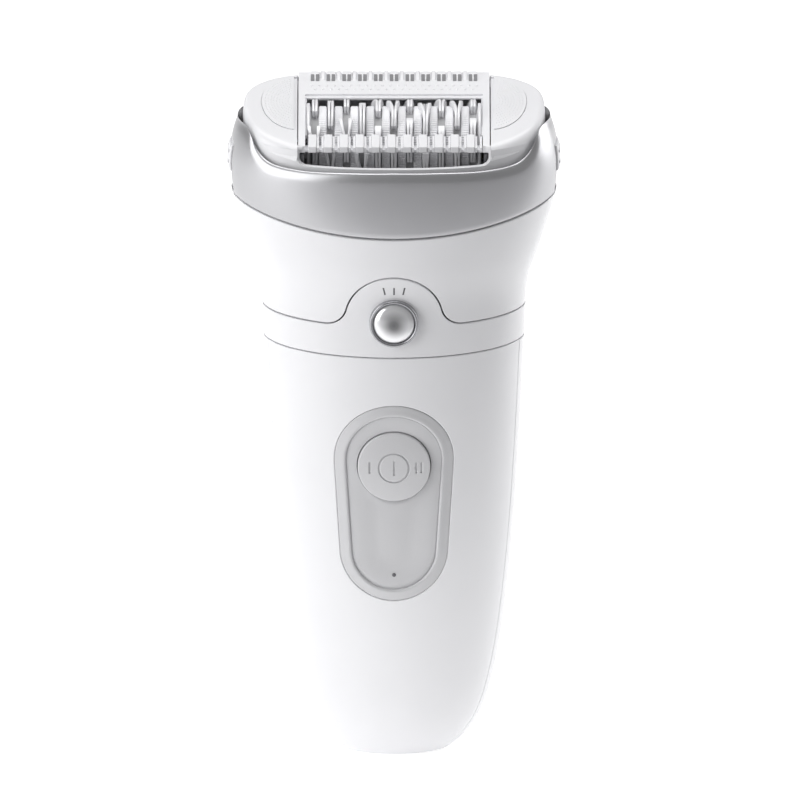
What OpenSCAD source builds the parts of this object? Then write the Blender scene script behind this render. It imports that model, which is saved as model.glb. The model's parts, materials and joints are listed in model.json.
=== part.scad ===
// Cordless epilator: an oval handle with a rotary switch, a neck with a work light, and a detachable
// head in which a tweezer drum turns under a tilting, capped housing.
// X is across the object, -Y its front, +Z up; the origin is the middle of the base.

/* [Body] */
// How deep the body is for its width
depth_ratio = 0.62; // [0.6:0.01:0.66]
// Wall of the handle shells
wall = 2.0; // [1.8:0.1:2.2]
// Front to back place of the parting line between the handle shells
parting_y = -5.0; // [-5.5:0.5:-4]
// Height of the collar ring's lower seam
collar_z = 96.0; // [95.5:0.5:96]
// Height of the collar ring's upper seam, beside the hump
collar_top_z = 103.2; // [103:0.1:104]
// Height of the light lens above the base
lens_z = 104.4; // [104:0.1:105]
// Radius of the light lens's bezel
lens_r = 5.4; // [5:0.1:5.6]

/* [Head] */
// Height of the axis that the drum turns on and the head tilts on
axis_z = 139.1; // [139:0.1:139.4]
// Half width of the tilting head
head_half_w = 33.0; // [32.6:0.1:33]
// Half depth of the tilting head
head_half_d = 18.4; // [18:0.1:18.4]
// Lean of the head's top face over the axis, in degrees
lean = 11.4; // [11:0.2:11.8]
// Height of the head's top face above the axis
top_dz = 8.3; // [8.2:0.1:8.4]
// Half width of the clip-on cap
cap_half_w = 21.1; // [21:0.1:21.3]
// Number of comb blocks, massage nubs and rows of tweezers across the cap
rows = 11; // [9:2:11]

/* [Switch] */
// Height of the middle of the switch panel
panel_z = 61.8; // [61:0.2:62]
// Width of the switch panel
panel_w = 26.0; // [25:0.5:26]
// Height of the switch panel
panel_h = 46.0; // [45:0.5:46]
// Radius of the power knob
knob_r = 8.0; // [7.5:0.1:8]
// Height of the power knob's axis
knob_z = 70.4; // [70:0.2:71]

/* [Hidden] */
$fn = 72;

shell_white = "#f4f4f6";
soft_grey = "#c4c4c8";
silver = "#b9babd";
steel = "#8f9399";
dark_grey = "#5b5d62";
brass_colour = "#b99a4c";
board_green = "#2f6b46";

gap = 0.15;         // between pieces of one body
free_gap = 0.35;    // between pieces of different bodies
run_gap = 0.04;     // radial clearance of a running fit
far = 200;          // reaches past the whole object

// Half width of the body at heights up the object.
outline = [
  [12.5, 0], [15.9, 3], [19.1, 8], [21.7, 16], [24.1, 30], [26.1, 50], [27.5, 72], [28.6, 96],
  [29.3, 108], [32.4, 118], [35.2, 128], [36.0, 136], [35.3, 142], [33.8, 147]
];
outline_steps = 3;  // straight pieces between two outline points

seam_gap = 0.2;
head_gap = 0.3;         // seam between the neck and the lifting head
band_low_z = 124.6;     // lower seam of the silver bezel, at the front
band_rise = 4.8;        // how much higher it is at the sides
// Upper rim of the silver bezel: place across and height above the axis, low in front, high at the ears.
rim_line = [
  [0, 1.1], [10, 0.85], [19, 0.4], [25, 0.45], [28, 1.1], [30.2, 2.8], [31.8, 5.6], [33.2, 7.0], [36, 7.3]
];
bezel_in = [34.4, 21.2];    // half axes of the opening inside the bezel
body_half_w = 36.0;

hump_r = lens_r + 5.3;
fillet_r = 4.8;

socket_w = 8.4;
socket_d = 5.8;
socket_depth = 6.6;
battery_r = 7.0;
battery_y = 1.6;
battery_z = [15, 65];
motor_r = 9.0;
motor_z = [68, 95.8];
board_y = -10.6;
board_t = 1.2;
plate_z = [96.2, 98.2];
screw_x = 13.4;
screw_y = 5.2;
cover_z = [105.6, 107.4];

pinion_teeth = 9;
drive_teeth = 39;
input_teeth = 31;
side_teeth = 12;
crown_pinion_teeth = 8;
crown_teeth = 24;
spur_m = 0.5;       // gear module in the handle
head_m = 0.6;       // gear module in the head
input_x = spur_m * (pinion_teeth + drive_teeth) / 2;
side_x = input_x + head_m * (input_teeth + side_teeth) / 2;
drive_gear_z = [99.6, 102.6];
floor_z = [121.0, 123.2];
head_gear_z = [124.2, 126.4];
plug_z = 111.0;
yoke_top = 130.6;
shaft_r = 1.5;

drum_r = 8.5;
tip_r = 10.0;
drum_half = 19.0;
pitch = 3.45;       // between rows of tweezers
wall_x = [19.6, 20.7];
arm_x = [27.6, 29.2];
boss_r = 3.0;
crown_face_x = 22.3;
crown_r = 6.1;
crown_root_r = 4.7;
head_wall = 1.5;
cavity_half = 29.8;     // half width of the hollow in the head
head_low = -4.0;        // the head's lower edge, from the axis
bay_low = 1.0;          // the lower edge of the bay in the head's front, from the axis
head_power = 2.35;      // roundness of the head's plan
back_power = 3.1;       // the same for its upper back, which is fuller
back_low = 7.9;         // where that starts, from the axis
crown_top_r = 145;      // radius of the crowned top face, from front to back

// ---- Curves

function spline_point(a, b, c, d, t) =
  0.5 * (2 * b + (c - a) * t + (2 * a - 5 * b + 4 * c - d) * t * t + (3 * b - a - 3 * c + d) * t * t * t);

function smooth(p, n) = [
  for (i = [0:len(p) - 2])
    for (s = [0:n - 1])
      spline_point(p[max(i - 1, 0)], p[i], p[i + 1], p[min(i + 2, len(p) - 1)], s / n),
  p[len(p) - 1]
];

side = smooth(outline, outline_steps);
rim = smooth(rim_line, 3);
widths = [for (p = side) [p[1], p[0]]];
function half_w(z) = lookup(z, widths);

// Half depth of the head at a distance x from its middle, for half axes a and b and a roundness.
function head_y(x, a, b, power) = b * pow(max(0, 1 - pow(abs(x) / a, power)), 1 / power);

// Height of the head's crowned, leaning top face above the axis, at a depth y.
function top_h(y) = top_dz - crown_top_r * cos(lean)
  + sqrt(pow(crown_top_r, 2) - pow(crown_top_r * sin(lean) - y, 2));

// ---- Shared shapes

// The body between two heights, drawn in by an inset, in two half turns.
module body_solid(z0, z1, inset = 0) {
  mid = 28;
  ratio = (mid * depth_ratio - inset) / (mid - inset);
  between = [for (p = side) if (p[1] > z0 + 0.01 && p[1] < z1 - 0.01) [p[0] - inset, p[1]]];
  low = [[0, z0], [half_w(z0) - inset, z0]];
  high = [[half_w(z1) - inset, z1], [0, z1]];
  for (turn = [0, 180])
    scale([1, ratio, 1]) rotate([0, 0, turn]) rotate_extrude(angle = 180) polygon(concat(low, between, high));
}

// An upright elliptical solid.
module oval(a, b, z0, z1) {
  for (turn = [0, 180])
    scale([1, b / a, 1]) rotate([0, 0, turn])
      rotate_extrude(angle = 180) translate([0, z0]) square([a, z1 - z0]);
}

module box(x, y, z) {
  translate([x[0], y[0], z[0]]) cube([x[1] - x[0], y[1] - y[0], z[1] - z[0]]);
}

// A cylinder along X.
module rod_x(r, x, y = 0, z = axis_z) {
  translate([x[0], y, z]) rotate([0, 90, 0]) cylinder(h = x[1] - x[0], r = r);
}

// A cylinder along Z.
module rod_z(r, z, x = 0, y = 0) {
  translate([x, y, z[0]]) cylinder(h = z[1] - z[0], r = r);
}

// A 2D outline, drawn with x across and y up, run from y0 to y1 along Y.
module along_y(y0, y1) {
  translate([0, y1, 0]) rotate([90, 0, 0]) linear_extrude(y1 - y0) children();
}

// A 2D outline, drawn with x for Y and y for Z, run from x0 to x1 along X.
module along_x(x0, x1) {
  translate([x0, 0, 0]) rotate([90, 0, 90]) linear_extrude(x1 - x0) children();
}

// Everything below a seam that dips to z at the middle and rises at the sides.
module below_seam(z, rise) {
  r = (body_half_w * body_half_w + rise * rise) / (2 * rise);
  difference() {
    box([-far, far], [-far, far], [-far, z + 20]);
    translate([0, far, z + r]) rotate([90, 0, 0]) cylinder(h = 2 * far, r = r, $fn = 360);
  }
}

// Everything above such a seam, up to a flat top.
module above_seam(z, rise) {
  r = (body_half_w * body_half_w + rise * rise) / (2 * rise);
  translate([0, far, z + r]) rotate([90, 0, 0]) cylinder(h = 2 * far, r = r, $fn = 360);
}

// An upright slot outline with round ends.
module slot_outline(w, h) {
  square([w, h - w], center = true);
  for (s = [-1, 1]) translate([0, s * (h - w) / 2]) circle(w / 2);
}

// A flat slot with round ends, long along X.
module base_slot(w, d, z0, z1) {
  translate([0, 0, z0]) linear_extrude(z1 - z0) rotate([0, 0, 90]) slot_outline(d, w);
}

// The collar ring's front outline: a strip with a round hump over the lens.
module collar_outline(grow = 0) {
  r = hump_r + grow;
  f = fillet_r - grow;
  rise = collar_top_z + fillet_r - lens_z;
  run = sqrt(pow(hump_r + fillet_r, 2) - pow(rise, 2));
  translate([-far, 0]) square([2 * far, collar_top_z + grow]);
  translate([0, lens_z]) circle(r);
  difference() {
    translate([-run, collar_top_z - 1]) square([2 * run, rise + 1 - 0.4]);
    for (s = [-1, 1]) translate([s * run, collar_top_z + fillet_r]) circle(f);
  }
}

// A spur gear with flat-flanked teeth, one of them pointing along +X.
module spur(teeth, m, z, x, turn = 0) {
  r = m * teeth / 2;
  step = 360 / teeth;
  half = 0.20 * step;
  tip = r + 0.8 * m;
  root = r - 1.1 * m;
  points = [
    for (i = [0:teeth - 1])
      for (c = [[root, -1.35 * half], [tip, -0.5 * half], [tip, 0.5 * half], [root, 1.35 * half]])
        [c[0] * cos(i * step + c[1]), c[0] * sin(i * step + c[1])]
  ];
  translate([x, 0, z[0]]) rotate([0, 0, turn]) linear_extrude(z[1] - z[0]) polygon(points);
}

// ---- Handle

module handle_wall(z0, z1) {
  difference() {
    body_solid(z0, z1);
    body_solid(max(z0 - 1, wall), z1 + 1, wall);
  }
}

module panel_outline(inset = 0) {
  translate([0, panel_z]) slot_outline(panel_w - 2 * inset, panel_h - 2 * inset);
}

module front_shell() color(shell_white) {
  difference() {
    handle_wall(0, collar_z - seam_gap / 2);
    box([-far, far], [parting_y - seam_gap / 2, far], [-1, far]);
    along_y(-40, 0) panel_outline();
    base_slot(20.2, 12.2, -1, 4);
  }
}

module rear_shell() color(shell_white) {
  difference() {
    handle_wall(0, collar_z - seam_gap / 2);
    box([-far, far], [-far, parting_y + seam_gap / 2], [-1, far]);
    base_slot(20.2, 12.2, -1, 4);
  }
}

module base_cap() color(shell_white) {
  difference() {
    union() {
      base_slot(20, 12, 0, wall + gap);
      base_slot(22, 13.2, wall + gap, 3.6);
    }
    box([-socket_w / 2 - 0.1, socket_w / 2 + 0.1], [-socket_d / 2 - 0.1, socket_d / 2 + 0.1], [-1, 5]);
  }
}

module base_seal() color(dark_grey) {
  difference() {
    base_slot(17.2, 11, 3.75, 4.45);
    base_slot(13.2, 8.6, 3, 5);
  }
}

module charge_socket() color(dark_grey) {
  difference() {
    union() {
      box([-5.4, 5.4], [-3.9, 3.9], [4.6, 12]);
      box([-socket_w / 2, socket_w / 2], [-socket_d / 2, socket_d / 2], [0.4, 4.6]);
    }
    box(
      [-socket_w / 2 + 0.6, socket_w / 2 - 0.6],
      [-socket_d / 2 + 0.6, socket_d / 2 - 0.6],
      [-1, socket_depth]
    );
    for (x = [-2, 2]) rod_z(0.55, [5, 13], x);
  }
}

module socket_pins() color(brass_colour) {
  for (x = [-2, 2]) rod_z(0.55, [socket_depth, 13], x);
}

module chassis() color(soft_grey) {
  difference() {
    union() {
      body_solid(12.6, 14.4, wall + 0.4);
      body_solid(65.4, 67.2, wall + 0.4);
      box([-6, 6], [9.0, 10.2], [14.4, 65.4]);
      box([-6, 6], [9.6, 11], [67.2, 95.8]);
      for (s = [-1, 1]) box([s * 12 - 0.8, s * 12 + 0.8], [-5, 5], [67.2, 95.8]);
      for (s = [-1, 1]) rod_z(2.2, [84, 95.8], s * screw_x, screw_y);
    }
    box([-14, 14], [-40, board_y + board_t + 0.2], [40, 96]);
    for (x = [-2, 2]) rod_z(1.0, [12, 15], x);
    for (s = [-1, 1]) rod_z(1.0, [86, 97], s * screw_x, screw_y);
  }
}

module battery() color(steel) {
  rod_z(battery_r, battery_z, 0, battery_y);
  rod_z(2.6, [battery_z[1], battery_z[1] + 0.25], 0, battery_y);
}

module battery_tabs() color(brass_colour) {
  box([-2, 2], [battery_y - battery_r - 2, battery_y + 2], [14.5, 14.85]);
  box([-2, 2], [battery_y - battery_r - 2, battery_y - battery_r - 1.6], [14.85, 24]);
}

module circuit_board() color(board_green) {
  box([-12, 12], [board_y, board_y + board_t], [40.4, 93]);
}

module board_parts() color(dark_grey) {
  back = board_y + board_t;
  box([-4, 4], [back, back + 1.2], [50, 58]);
  box([5.5, 9.5], [back, back + 1.0], [44, 50]);
  box([-9.5, -6], [back, back + 1.4], [44, 47]);
  for (s = [0:3]) box([-9 + 4.6 * s, -7 + 4.6 * s], [back, back + 0.6], [61, 62]);
}

module switch_contact() color(brass_colour) {
  translate([0, board_y, knob_z]) rotate([90, 0, 0]) difference() {
    cylinder(h = 0.3, r = 5.2);
    translate([0, 0, -1]) cylinder(h = 3, r = 2.6);
  }
}

module charge_light() color("#e8e8ea") {
  translate([0, board_y, panel_z - panel_h / 2 + 5.8]) rotate([90, 0, 0]) cylinder(h = 4.6, r = 0.45);
}

module motor_can() color(steel) {
  rod_z(motor_r, motor_z);
  rod_z(2.9, [motor_z[1], motor_z[1] + 1.6]);
}

module gear_plate() color(soft_grey) {
  difference() {
    body_solid(plate_z[0], plate_z[1], wall + 0.4);
    rod_z(3.0, [90, 100]);
    rod_z(shaft_r + run_gap, [90, 100], input_x);
    for (s = [-1, 1]) rod_z(1.15, [90, 100], s * screw_x, screw_y);
  }
}

module gear_cover() color(soft_grey) {
  difference() {
    body_solid(cover_z[0], cover_z[1], wall + 0.4);
    box([-9, 9], [-30, -8.6], [100, 110]);
    rod_z(3.6, [100, 110], input_x);
    rod_z(2.0, [100, 106.4]);
  }
}

module collar_ring() color(shell_white) {
  difference() {
    body_solid(collar_z, lens_z + hump_r + 0.5);
    body_solid(collar_z - 1, lens_z + hump_r + 2, wall);
    along_y(-far, far) difference() {
      translate([-far, collar_top_z - 5]) square([2 * far, 60]);
      collar_outline();
    }
    box([-far, far], [0, far], [collar_top_z, far]);
    translate([0, 0, lens_z]) rotate([90, 0, 0]) cylinder(h = 40, r = lens_r + 0.1);
  }
}

module neck_shell() color(shell_white) {
  difference() {
    intersection() {
      difference() {
        body_solid(collar_top_z + seam_gap, band_low_z + band_rise + 1);
        body_solid(collar_top_z - 1, band_low_z + band_rise + 2, wall);
      }
      below_seam(band_low_z, band_rise);
    }
    intersection() {
      along_y(-far, 0) collar_outline(seam_gap);
      box([-30, 30], [-40, 0.1], [0, far]);
    }
  }
}

module light_bezel() color(silver) {
  translate([0, 0, lens_z]) rotate([90, 0, 0]) difference() {
    translate([0, 0, 14.2]) cylinder(h = 5.2, r = lens_r);
    translate([0, 0, 10]) cylinder(h = 12, r = lens_r - 0.8);
  }
}

module light_lens() color("#dcdce0") {
  dome_r = 7.6;
  r = lens_r - 0.85;
  translate([0, 0, lens_z]) rotate([90, 0, 0]) intersection() {
    translate([0, 0, 16.4]) cylinder(h = 4, r = r);
    translate([0, 0, 20.1 - dome_r]) sphere(dome_r);
  }
}

module light_reflector() color(silver) {
  translate([0, 0, lens_z]) rotate([90, 0, 0]) difference() {
    translate([0, 0, 11.0]) cylinder(h = 3.1, r = lens_r - 0.2);
    translate([0, 0, 10.9]) cylinder(h = 3.4, r1 = 1.6, r2 = lens_r - 0.9);
  }
}

module light_board() color(board_green) {
  translate([0, 0, lens_z]) rotate([90, 0, 0]) {
    translate([0, 0, 9.8]) cylinder(h = 1.0, r = lens_r - 0.4);
    translate([0, 0, 10.8]) cylinder(h = 0.6, r = 1.1);
  }
}

// The switch panel's skin: the body's surface, sunk a little, over the panel's outline.
module panel_skin(sink, thickness, inset) {
  intersection() {
    difference() {
      body_solid(panel_z - panel_h / 2 - 2, panel_z + panel_h / 2 + 2, sink);
      body_solid(panel_z - panel_h / 2 - 3, panel_z + panel_h / 2 + 3, sink + thickness);
    }
    along_y(-40, 0) panel_outline(inset);
  }
}

module knob_hole(r) {
  translate([0, 0, knob_z]) rotate([90, 0, 0]) cylinder(h = 40, r = r);
}

module switch_panel() color(soft_grey) {
  difference() {
    panel_skin(0.2, 2.0, gap);
    intersection() {
      panel_skin(0, 1.0, 2.6);
      box([-30, 30], [-40, 0], [0, far]);
    }
    knob_hole(knob_r + 0.5);
    translate([0, 0, panel_z - panel_h / 2 + 5.8]) rotate([90, 0, 0]) cylinder(h = 40, r = 0.5);
  }
}

module thumb_pad() color(soft_grey) {
  difference() {
    panel_skin(0.5, 0.45, 2.7);
    knob_hole(knob_r + 0.5);
    translate([0, 0, panel_z - panel_h / 2 + 5.8]) rotate([90, 0, 0]) cylinder(h = 40, r = 0.5);
  }
}

module knob_seal() color(dark_grey) {
  translate([0, -13.0, knob_z]) rotate([90, 0, 0]) difference() {
    cylinder(h = 0.6, r = 6.8);
    translate([0, 0, -1]) cylinder(h = 3, r = 3.2);
  }
}

module chassis_screws() color(steel) {
  for (s = [-1, 1]) {
    rod_z(1.0, [86, plate_z[1]], s * screw_x, screw_y);
    rod_z(1.8, [plate_z[1], plate_z[1] + 1.0], s * screw_x, screw_y);
  }
}

module coupling_bush() color(brass_colour) {
  difference() {
    union() {
      rod_z(3.6, [cover_z[0], cover_z[1]], input_x);
      rod_z(4.4, [cover_z[0] - 0.8, cover_z[0]], input_x);
    }
    rod_z(shaft_r + run_gap, [100, 110], input_x);
  }
}

module shaft_seal() color(dark_grey) {
  difference() {
    rod_z(4.0, [cover_z[1] + 0.02, cover_z[1] + 1.0], input_x);
    rod_z(shaft_r + 0.3, [100, 110], input_x);
  }
}

// ---- Moving pieces in the handle

module power_knob() color(soft_grey) {
  dome_r = 42;
  front = 18.1;
  translate([0, 0, knob_z]) rotate([90, 0, 0]) difference() {
    union() {
      intersection() {
        translate([0, 0, 14.0]) cylinder(h = 8, r = knob_r);
        translate([0, 0, front - dome_r]) sphere(dome_r, $fn = 180);
      }
      translate([0, 0, 11.6]) cylinder(h = 2.4, r = 2.8);
    }
    for (x = [-5.3, 4.9, 6.1]) translate([x - 0.2, -1.3, 17.5]) cube([0.4, 2.6, 4]);
    translate([-0.2, -1.6, 17.6]) cube([0.4, 3.2, 4]);
    translate([0, 0, 17.6]) difference() {
      cylinder(h = 4, r = 3.4);
      translate([0, 0, -1]) cylinder(h = 6, r = 3.0);
    }
  }
}

module knob_wiper() color(brass_colour) {
  translate([0, -11.25, knob_z]) rotate([90, 0, 0]) linear_extrude(0.3) {
    square([8.8, 1.6], center = true);
    circle(1.6);
  }
}

module motor_shaft() color(steel) rod_z(1.0, [motor_z[1] + 1.7, 103.6]);

module motor_pinion() color(brass_colour) {
  difference() {
    spur(pinion_teeth, spur_m, drive_gear_z, 0);
    rod_z(1.0, [90, 110]);
  }
}

module drive_gear() color("#e6e2d3") {
  difference() {
    spur(drive_teeth, spur_m, drive_gear_z, input_x);
    rod_z(shaft_r, [90, 110], input_x);
    for (a = [0:60:300])
      translate([input_x + 5.6 * cos(a), 5.6 * sin(a), 90]) cylinder(h = 20, r = 1.5);
  }
}

module coupling_shaft() color(steel) {
  rod_z(shaft_r, [plate_z[0], 109.4], input_x);
  difference() {
    rod_z(3.2, [109.4, 112.6], input_x);
    translate([input_x, 0, 110.2]) cylinder(h = 5, r = 2.3, $fn = 6);
  }
}

// ---- Detachable head: fixed pieces

module yoke_frame() color(soft_grey) {
  fit = wall + 0.4;
  difference() {
    union() {
      body_solid(floor_z[0], floor_z[1], fit);
      difference() {
        body_solid(plug_z, floor_z[0], fit);
        body_solid(plug_z - 1, floor_z[0] + 1, fit + 1.6);
      }
      difference() {
        body_solid(floor_z[1], yoke_top, fit);
        body_solid(floor_z[1] - 1, yoke_top + 1, fit + 1.0);
      }
    }
    rod_z(2.4, [110, 130], input_x);
    rod_z(2.0, [110, 130], side_x);
    for (s = [-1, 1]) box([s * 31.2 - 4, s * 31.2 + 4], [-4.6, 4.6], [plug_z - 1, yoke_top + 1]);
    for (s = [-1, 1]) box([s * 28.5 - 1.1, s * 28.5 + 1.1], [-7.4, 7.4], [floor_z[1], yoke_top + 1]);
    box([-11, 11], [-30, -7], [plug_z - 1, plug_z + 6]);
  }
}

// Everything above the bezel's rim, which runs level past its last point.
module above_rim() {
  ear_z = axis_z + rim_line[len(rim_line) - 1][1];
  along_y(-far, far) polygon(concat(
    [for (i = [len(rim) - 1:-1:1]) [-rim[i][0], axis_z + rim[i][1]]],
    [for (p = rim) [p[0], axis_z + p[1]]],
    [[far, ear_z], [far, axis_z + far], [-far, axis_z + far], [-far, ear_z]]
  ));
}

module silver_bezel() color(silver) {
  difference() {
    intersection() {
      body_solid(band_low_z, 146.4);
      above_seam(band_low_z + head_gap, band_rise);
    }
    oval(bezel_in[0], bezel_in[1], yoke_top, far);
    body_solid(band_low_z - 1, yoke_top + 0.1, wall + 0.35);
    above_rim();
    for (s = [-1, 1]) box([s * 36 - 4, s * 36 + 4], [-4.0, 4.0], [129.6, 141.4]);
    for (s = [-1, 1]) box([s * 30.6 - 2, s * 30.6 + 2], [-4.4, 4.4], [120, 131]);
  }
}

// Two arms that stand in the lobes: they hold the drum's axle, and the head tilts on their bosses.
module drum_carrier() color("#d9d9dc") {
  for (s = [-1, 1]) {
    span = s > 0 ? arm_x : [-arm_x[1], -arm_x[0]];
    difference() {
      union() {
        box(span, [-7.3, 7.3], [floor_z[1], 132.0]);
        box(span, [-5, 5], [132.0, axis_z]);
        rod_x(5, span);
        rod_x(boss_r, s > 0 ? [arm_x[1], 31.0] : [-31.0, -arm_x[1]]);
      }
      box([-far, far], [-5.3, 5.3], [floor_z[0], 127.6]);
      rod_x(2.5, span);
    }
  }
}

module drum_bushes() color(brass_colour) {
  for (s = [-1, 1]) difference() {
    rod_x(2.5, s > 0 ? arm_x : [-arm_x[1], -arm_x[0]]);
    rod_x(shaft_r + run_gap, [-far, far]);
  }
}

module shaft_bushes() color(brass_colour) {
  difference() {
    rod_z(2.4, floor_z, input_x);
    rod_z(shaft_r + run_gap, [110, 130], input_x);
  }
  difference() {
    rod_z(2.0, floor_z, side_x);
    rod_z(1.2 + run_gap, [110, 130], side_x);
  }
}

module release_springs() color(steel) {
  for (s = [-1, 1]) for (y = [-2.6, 2.6])
    box([s * 26.0 - 0.2, s * 26.0 + 0.2], [y - 0.8, y + 0.8], [114, floor_z[0]]);
}

// ---- Release buttons

// A plate in the bezel's slot with a ribbed boss on it. Its leg steps in past the side gear to the latch.
module release_button(s) {
  mirror([s > 0 ? 0 : 1, 0, 0]) {
    intersection() {
      body_solid(129.0, 142.0, 0.2);
      box([34.6, 38], [-3.6, 3.6], [130.0, 141.0]);
    }
    difference() {
      intersection() {
        body_solid(129.0, 142.0, -0.3);
        box([34.6, 38], [-3.6, 3.6], [134.2, 140.4]);
      }
      for (z = [136.1, 138.5]) box([35.8, 38], [-2.6, 2.6], [z - 0.35, z + 0.35]);
    }
    box([30.2, 34.6], [-3.5, 3.5], [130.0, 131.2]);
    box([30.2, 31.0], [-3.5, 3.5], [122.8, 130.0]);
    box([28.4, 30.2], [-3.5, 3.5], [122.8, 123.8]);
    box([28.4, 29.2], [-3.5, 3.5], [117.0, 122.8]);
  }
}

module release_button_left() color(shell_white) release_button(-1);
module release_button_right() color(shell_white) release_button(1);

// ---- Gears of the head

module input_shaft() color(steel) {
  rod_z(shaft_r, [113.0, 127.2], input_x);
  translate([input_x, 0, 110.4]) cylinder(h = 2.6, r = 2.15, $fn = 6);
}

module input_gear() color("#e6e2d3") {
  difference() {
    spur(input_teeth, head_m, head_gear_z, input_x);
    rod_z(shaft_r, [110, 130], input_x);
  }
}

module side_shaft() color(steel) rod_z(1.2, [floor_z[0] - 0.8, 134.9], side_x);

module side_gear() color("#e6e2d3") {
  difference() {
    spur(side_teeth, head_m, head_gear_z, side_x, 180 / side_teeth);
    rod_z(1.2, [110, 140], side_x);
  }
}

module crown_pinion() color(brass_colour) {
  difference() {
    spur(crown_pinion_teeth, spur_m, [axis_z - crown_r - 0.1, axis_z - crown_root_r], side_x);
    rod_z(1.2, [110, 140], side_x);
  }
}

// ---- Tweezer drum

module drum_core() color("#d4d4d8") {
  depth = 1.4;
  difference() {
    rod_x(drum_r, [-drum_half, drum_half]);
    for (i = [0:rows - 1]) difference() {
      rod_x(drum_r + 1, row_span(i));
      rod_x(drum_r - depth, row_span(i));
    }
    rod_x(shaft_r, [-far, far]);
  }
}

function row_x(i) = (i - (rows - 1) / 2) * pitch;
function row_span(i) = [row_x(i) - 0.55, row_x(i) + 0.55];

module tweezer_plates() color("#e9e9ec") {
  arc = 56;
  for (i = [0:rows - 1])
    for (q = [0:3])
      translate([row_x(i) - 0.55, 0, axis_z]) rotate([0, 90, 0]) rotate([0, 0, q * 90 + (i % 2) * 45])
        rotate_extrude(angle = arc) translate([drum_r - 1.4, 0]) square([tip_r - drum_r + 1.4, 1.1]);
}

module drum_axle() color(steel) rod_x(shaft_r, [-29.0, 29.0]);

module crown_gear() color("#e6e2d3") {
  difference() {
    union() {
      rod_x(crown_r, [21.2, crown_face_x]);
      rod_x(2.9, [drum_half, 21.2]);
      for (i = [0:crown_teeth - 1]) intersection() {
        translate([0, 0, axis_z]) rotate([(i + 0.5) * 360 / crown_teeth, 0, 0])
          translate([crown_face_x - 0.2, -0.25, crown_root_r]) cube([1.1, 0.5, crown_r - crown_root_r]);
        rod_x(crown_r, [crown_face_x - 0.2, crown_face_x + 0.9]);
      }
    }
    rod_x(shaft_r, [-far, far]);
  }
}

// ---- Tilting head

head_steps = 18;
// Plan of the head, for half axes a and b and a roundness.
function head_plan(a, b, power) = [
  for (i = [-head_steps:head_steps])
    let (x = a * sin(90 * i / head_steps)) [x, -head_y(x, a, b, power)],
  for (i = [head_steps - 1:-1:-head_steps + 1])
    let (x = a * sin(90 * i / head_steps)) [x, head_y(x, a, b, power)]
];

// The head's block: upright walls above the axis, round about the axis below it, fuller at the upper back.
module head_block(a, b, half, low, back) {
  ends = [
    for (i = [-head_steps:head_steps]) let (x = a * sin(90 * i / head_steps)) [head_y(x, a, b, head_power), x]
  ];
  intersection() {
    union() {
      translate([0, 0, axis_z]) linear_extrude(20) polygon(head_plan(a, b, head_power));
      intersection() {
        translate([0, 0, axis_z]) rotate([0, 90, 0]) rotate_extrude() polygon(ends);
        box([-far, far], [-far, far], [axis_z + low, axis_z]);
      }
      intersection() {
        translate([0, 0, axis_z + back]) linear_extrude(20) polygon(head_plan(a, b, back_power));
        box([-far, far], [0, far], [0, far]);
      }
    }
    box([-half, half], [-far, far], [0, far]);
  }
}

// Everything under the crowned top face, moved to dz above the axis at the middle.
module under_top(dz) {
  rod_x(crown_top_r, [-60, 60], crown_top_r * sin(lean), axis_z + dz - crown_top_r * cos(lean));
}

module head_housing() color(shell_white) {
  difference() {
    intersection() {
      head_block(head_half_w, head_half_d, 60, head_low, back_low);
      under_top(top_dz);
    }
    intersection() {
      head_block(
        head_half_w - head_wall,
        head_half_d - head_wall,
        cavity_half,
        head_low - 1,
        back_low + head_wall
      );
      under_top(top_dz - head_wall);
    }
    box([-cap_half_w, cap_half_w], [-far, 12.4], [axis_z + bay_low, far]);
    difference() {
      box([-cap_half_w - 0.3, cap_half_w + 0.3], [-far, far], [axis_z + 1, far]);
      under_top(top_dz - cap_t - 0.3);
    }
    for (s = [-1, 1]) rod_x(boss_r + run_gap, s > 0 ? [29, 31.3] : [-31.3, -29]);
    for (s = [-1, 1]) difference() {
      pad_disc(s, 0.1);
      under_top(top_dz - 0.5);
    }
  }
}

// The upright disc that outlines a skin pad, cut straight at the cap.
module pad_disc(s, grow) {
  translate([0, 3.4, axis_z]) intersection() {
    translate([s * cap_half_w, 0, 0]) scale([7.8 / 11.4, 1, 1]) cylinder(h = 40, r = 11.4 + grow);
    box(s > 0 ? [cap_half_w + 0.7 - grow, 40] : [-40, -cap_half_w - 0.7 + grow], [-20, 20], [0, 40]);
  }
}

module skin_pad(s) {
  difference() {
    intersection() {
      pad_disc(s, 0);
      under_top(top_dz + 0.2);
    }
    under_top(top_dz - 0.45);
  }
}

module skin_pad_left() color("#ececf0") skin_pad(-1);
module skin_pad_right() color("#ececf0") skin_pad(1);

module bay_walls() color(dark_grey) {
  for (s = [-1, 1]) difference() {
    intersection() {
      head_block(
        head_half_w - head_wall - gap,
        head_half_d - head_wall - gap,
        60,
        head_low,
        back_low + head_wall + gap
      );
      under_top(top_dz - cap_t - 0.35);
      box(s > 0 ? wall_x : [-wall_x[1], -wall_x[0]], [-14.6, 16], [0, far]);
    }
    rod_x(3.3, s > 0 ? [19, 22] : [-22, -19]);
  }
}

// ---- Clip-on cap

cap_t = 1.5;         // thickness of the cap
nub_low = 9.6;       // foot of the massage nubs, from the axis
cap_bar = 1.7;       // width of the bars at the cap's ends
cap_front = -14.0;
cap_back = 17.6;
window_y = [-8.8, 5.6];
comb_top = [[-8.8, 5.75], [-14.0, 4.7]];    // the comb's top, from back to front, from the axis

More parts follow.
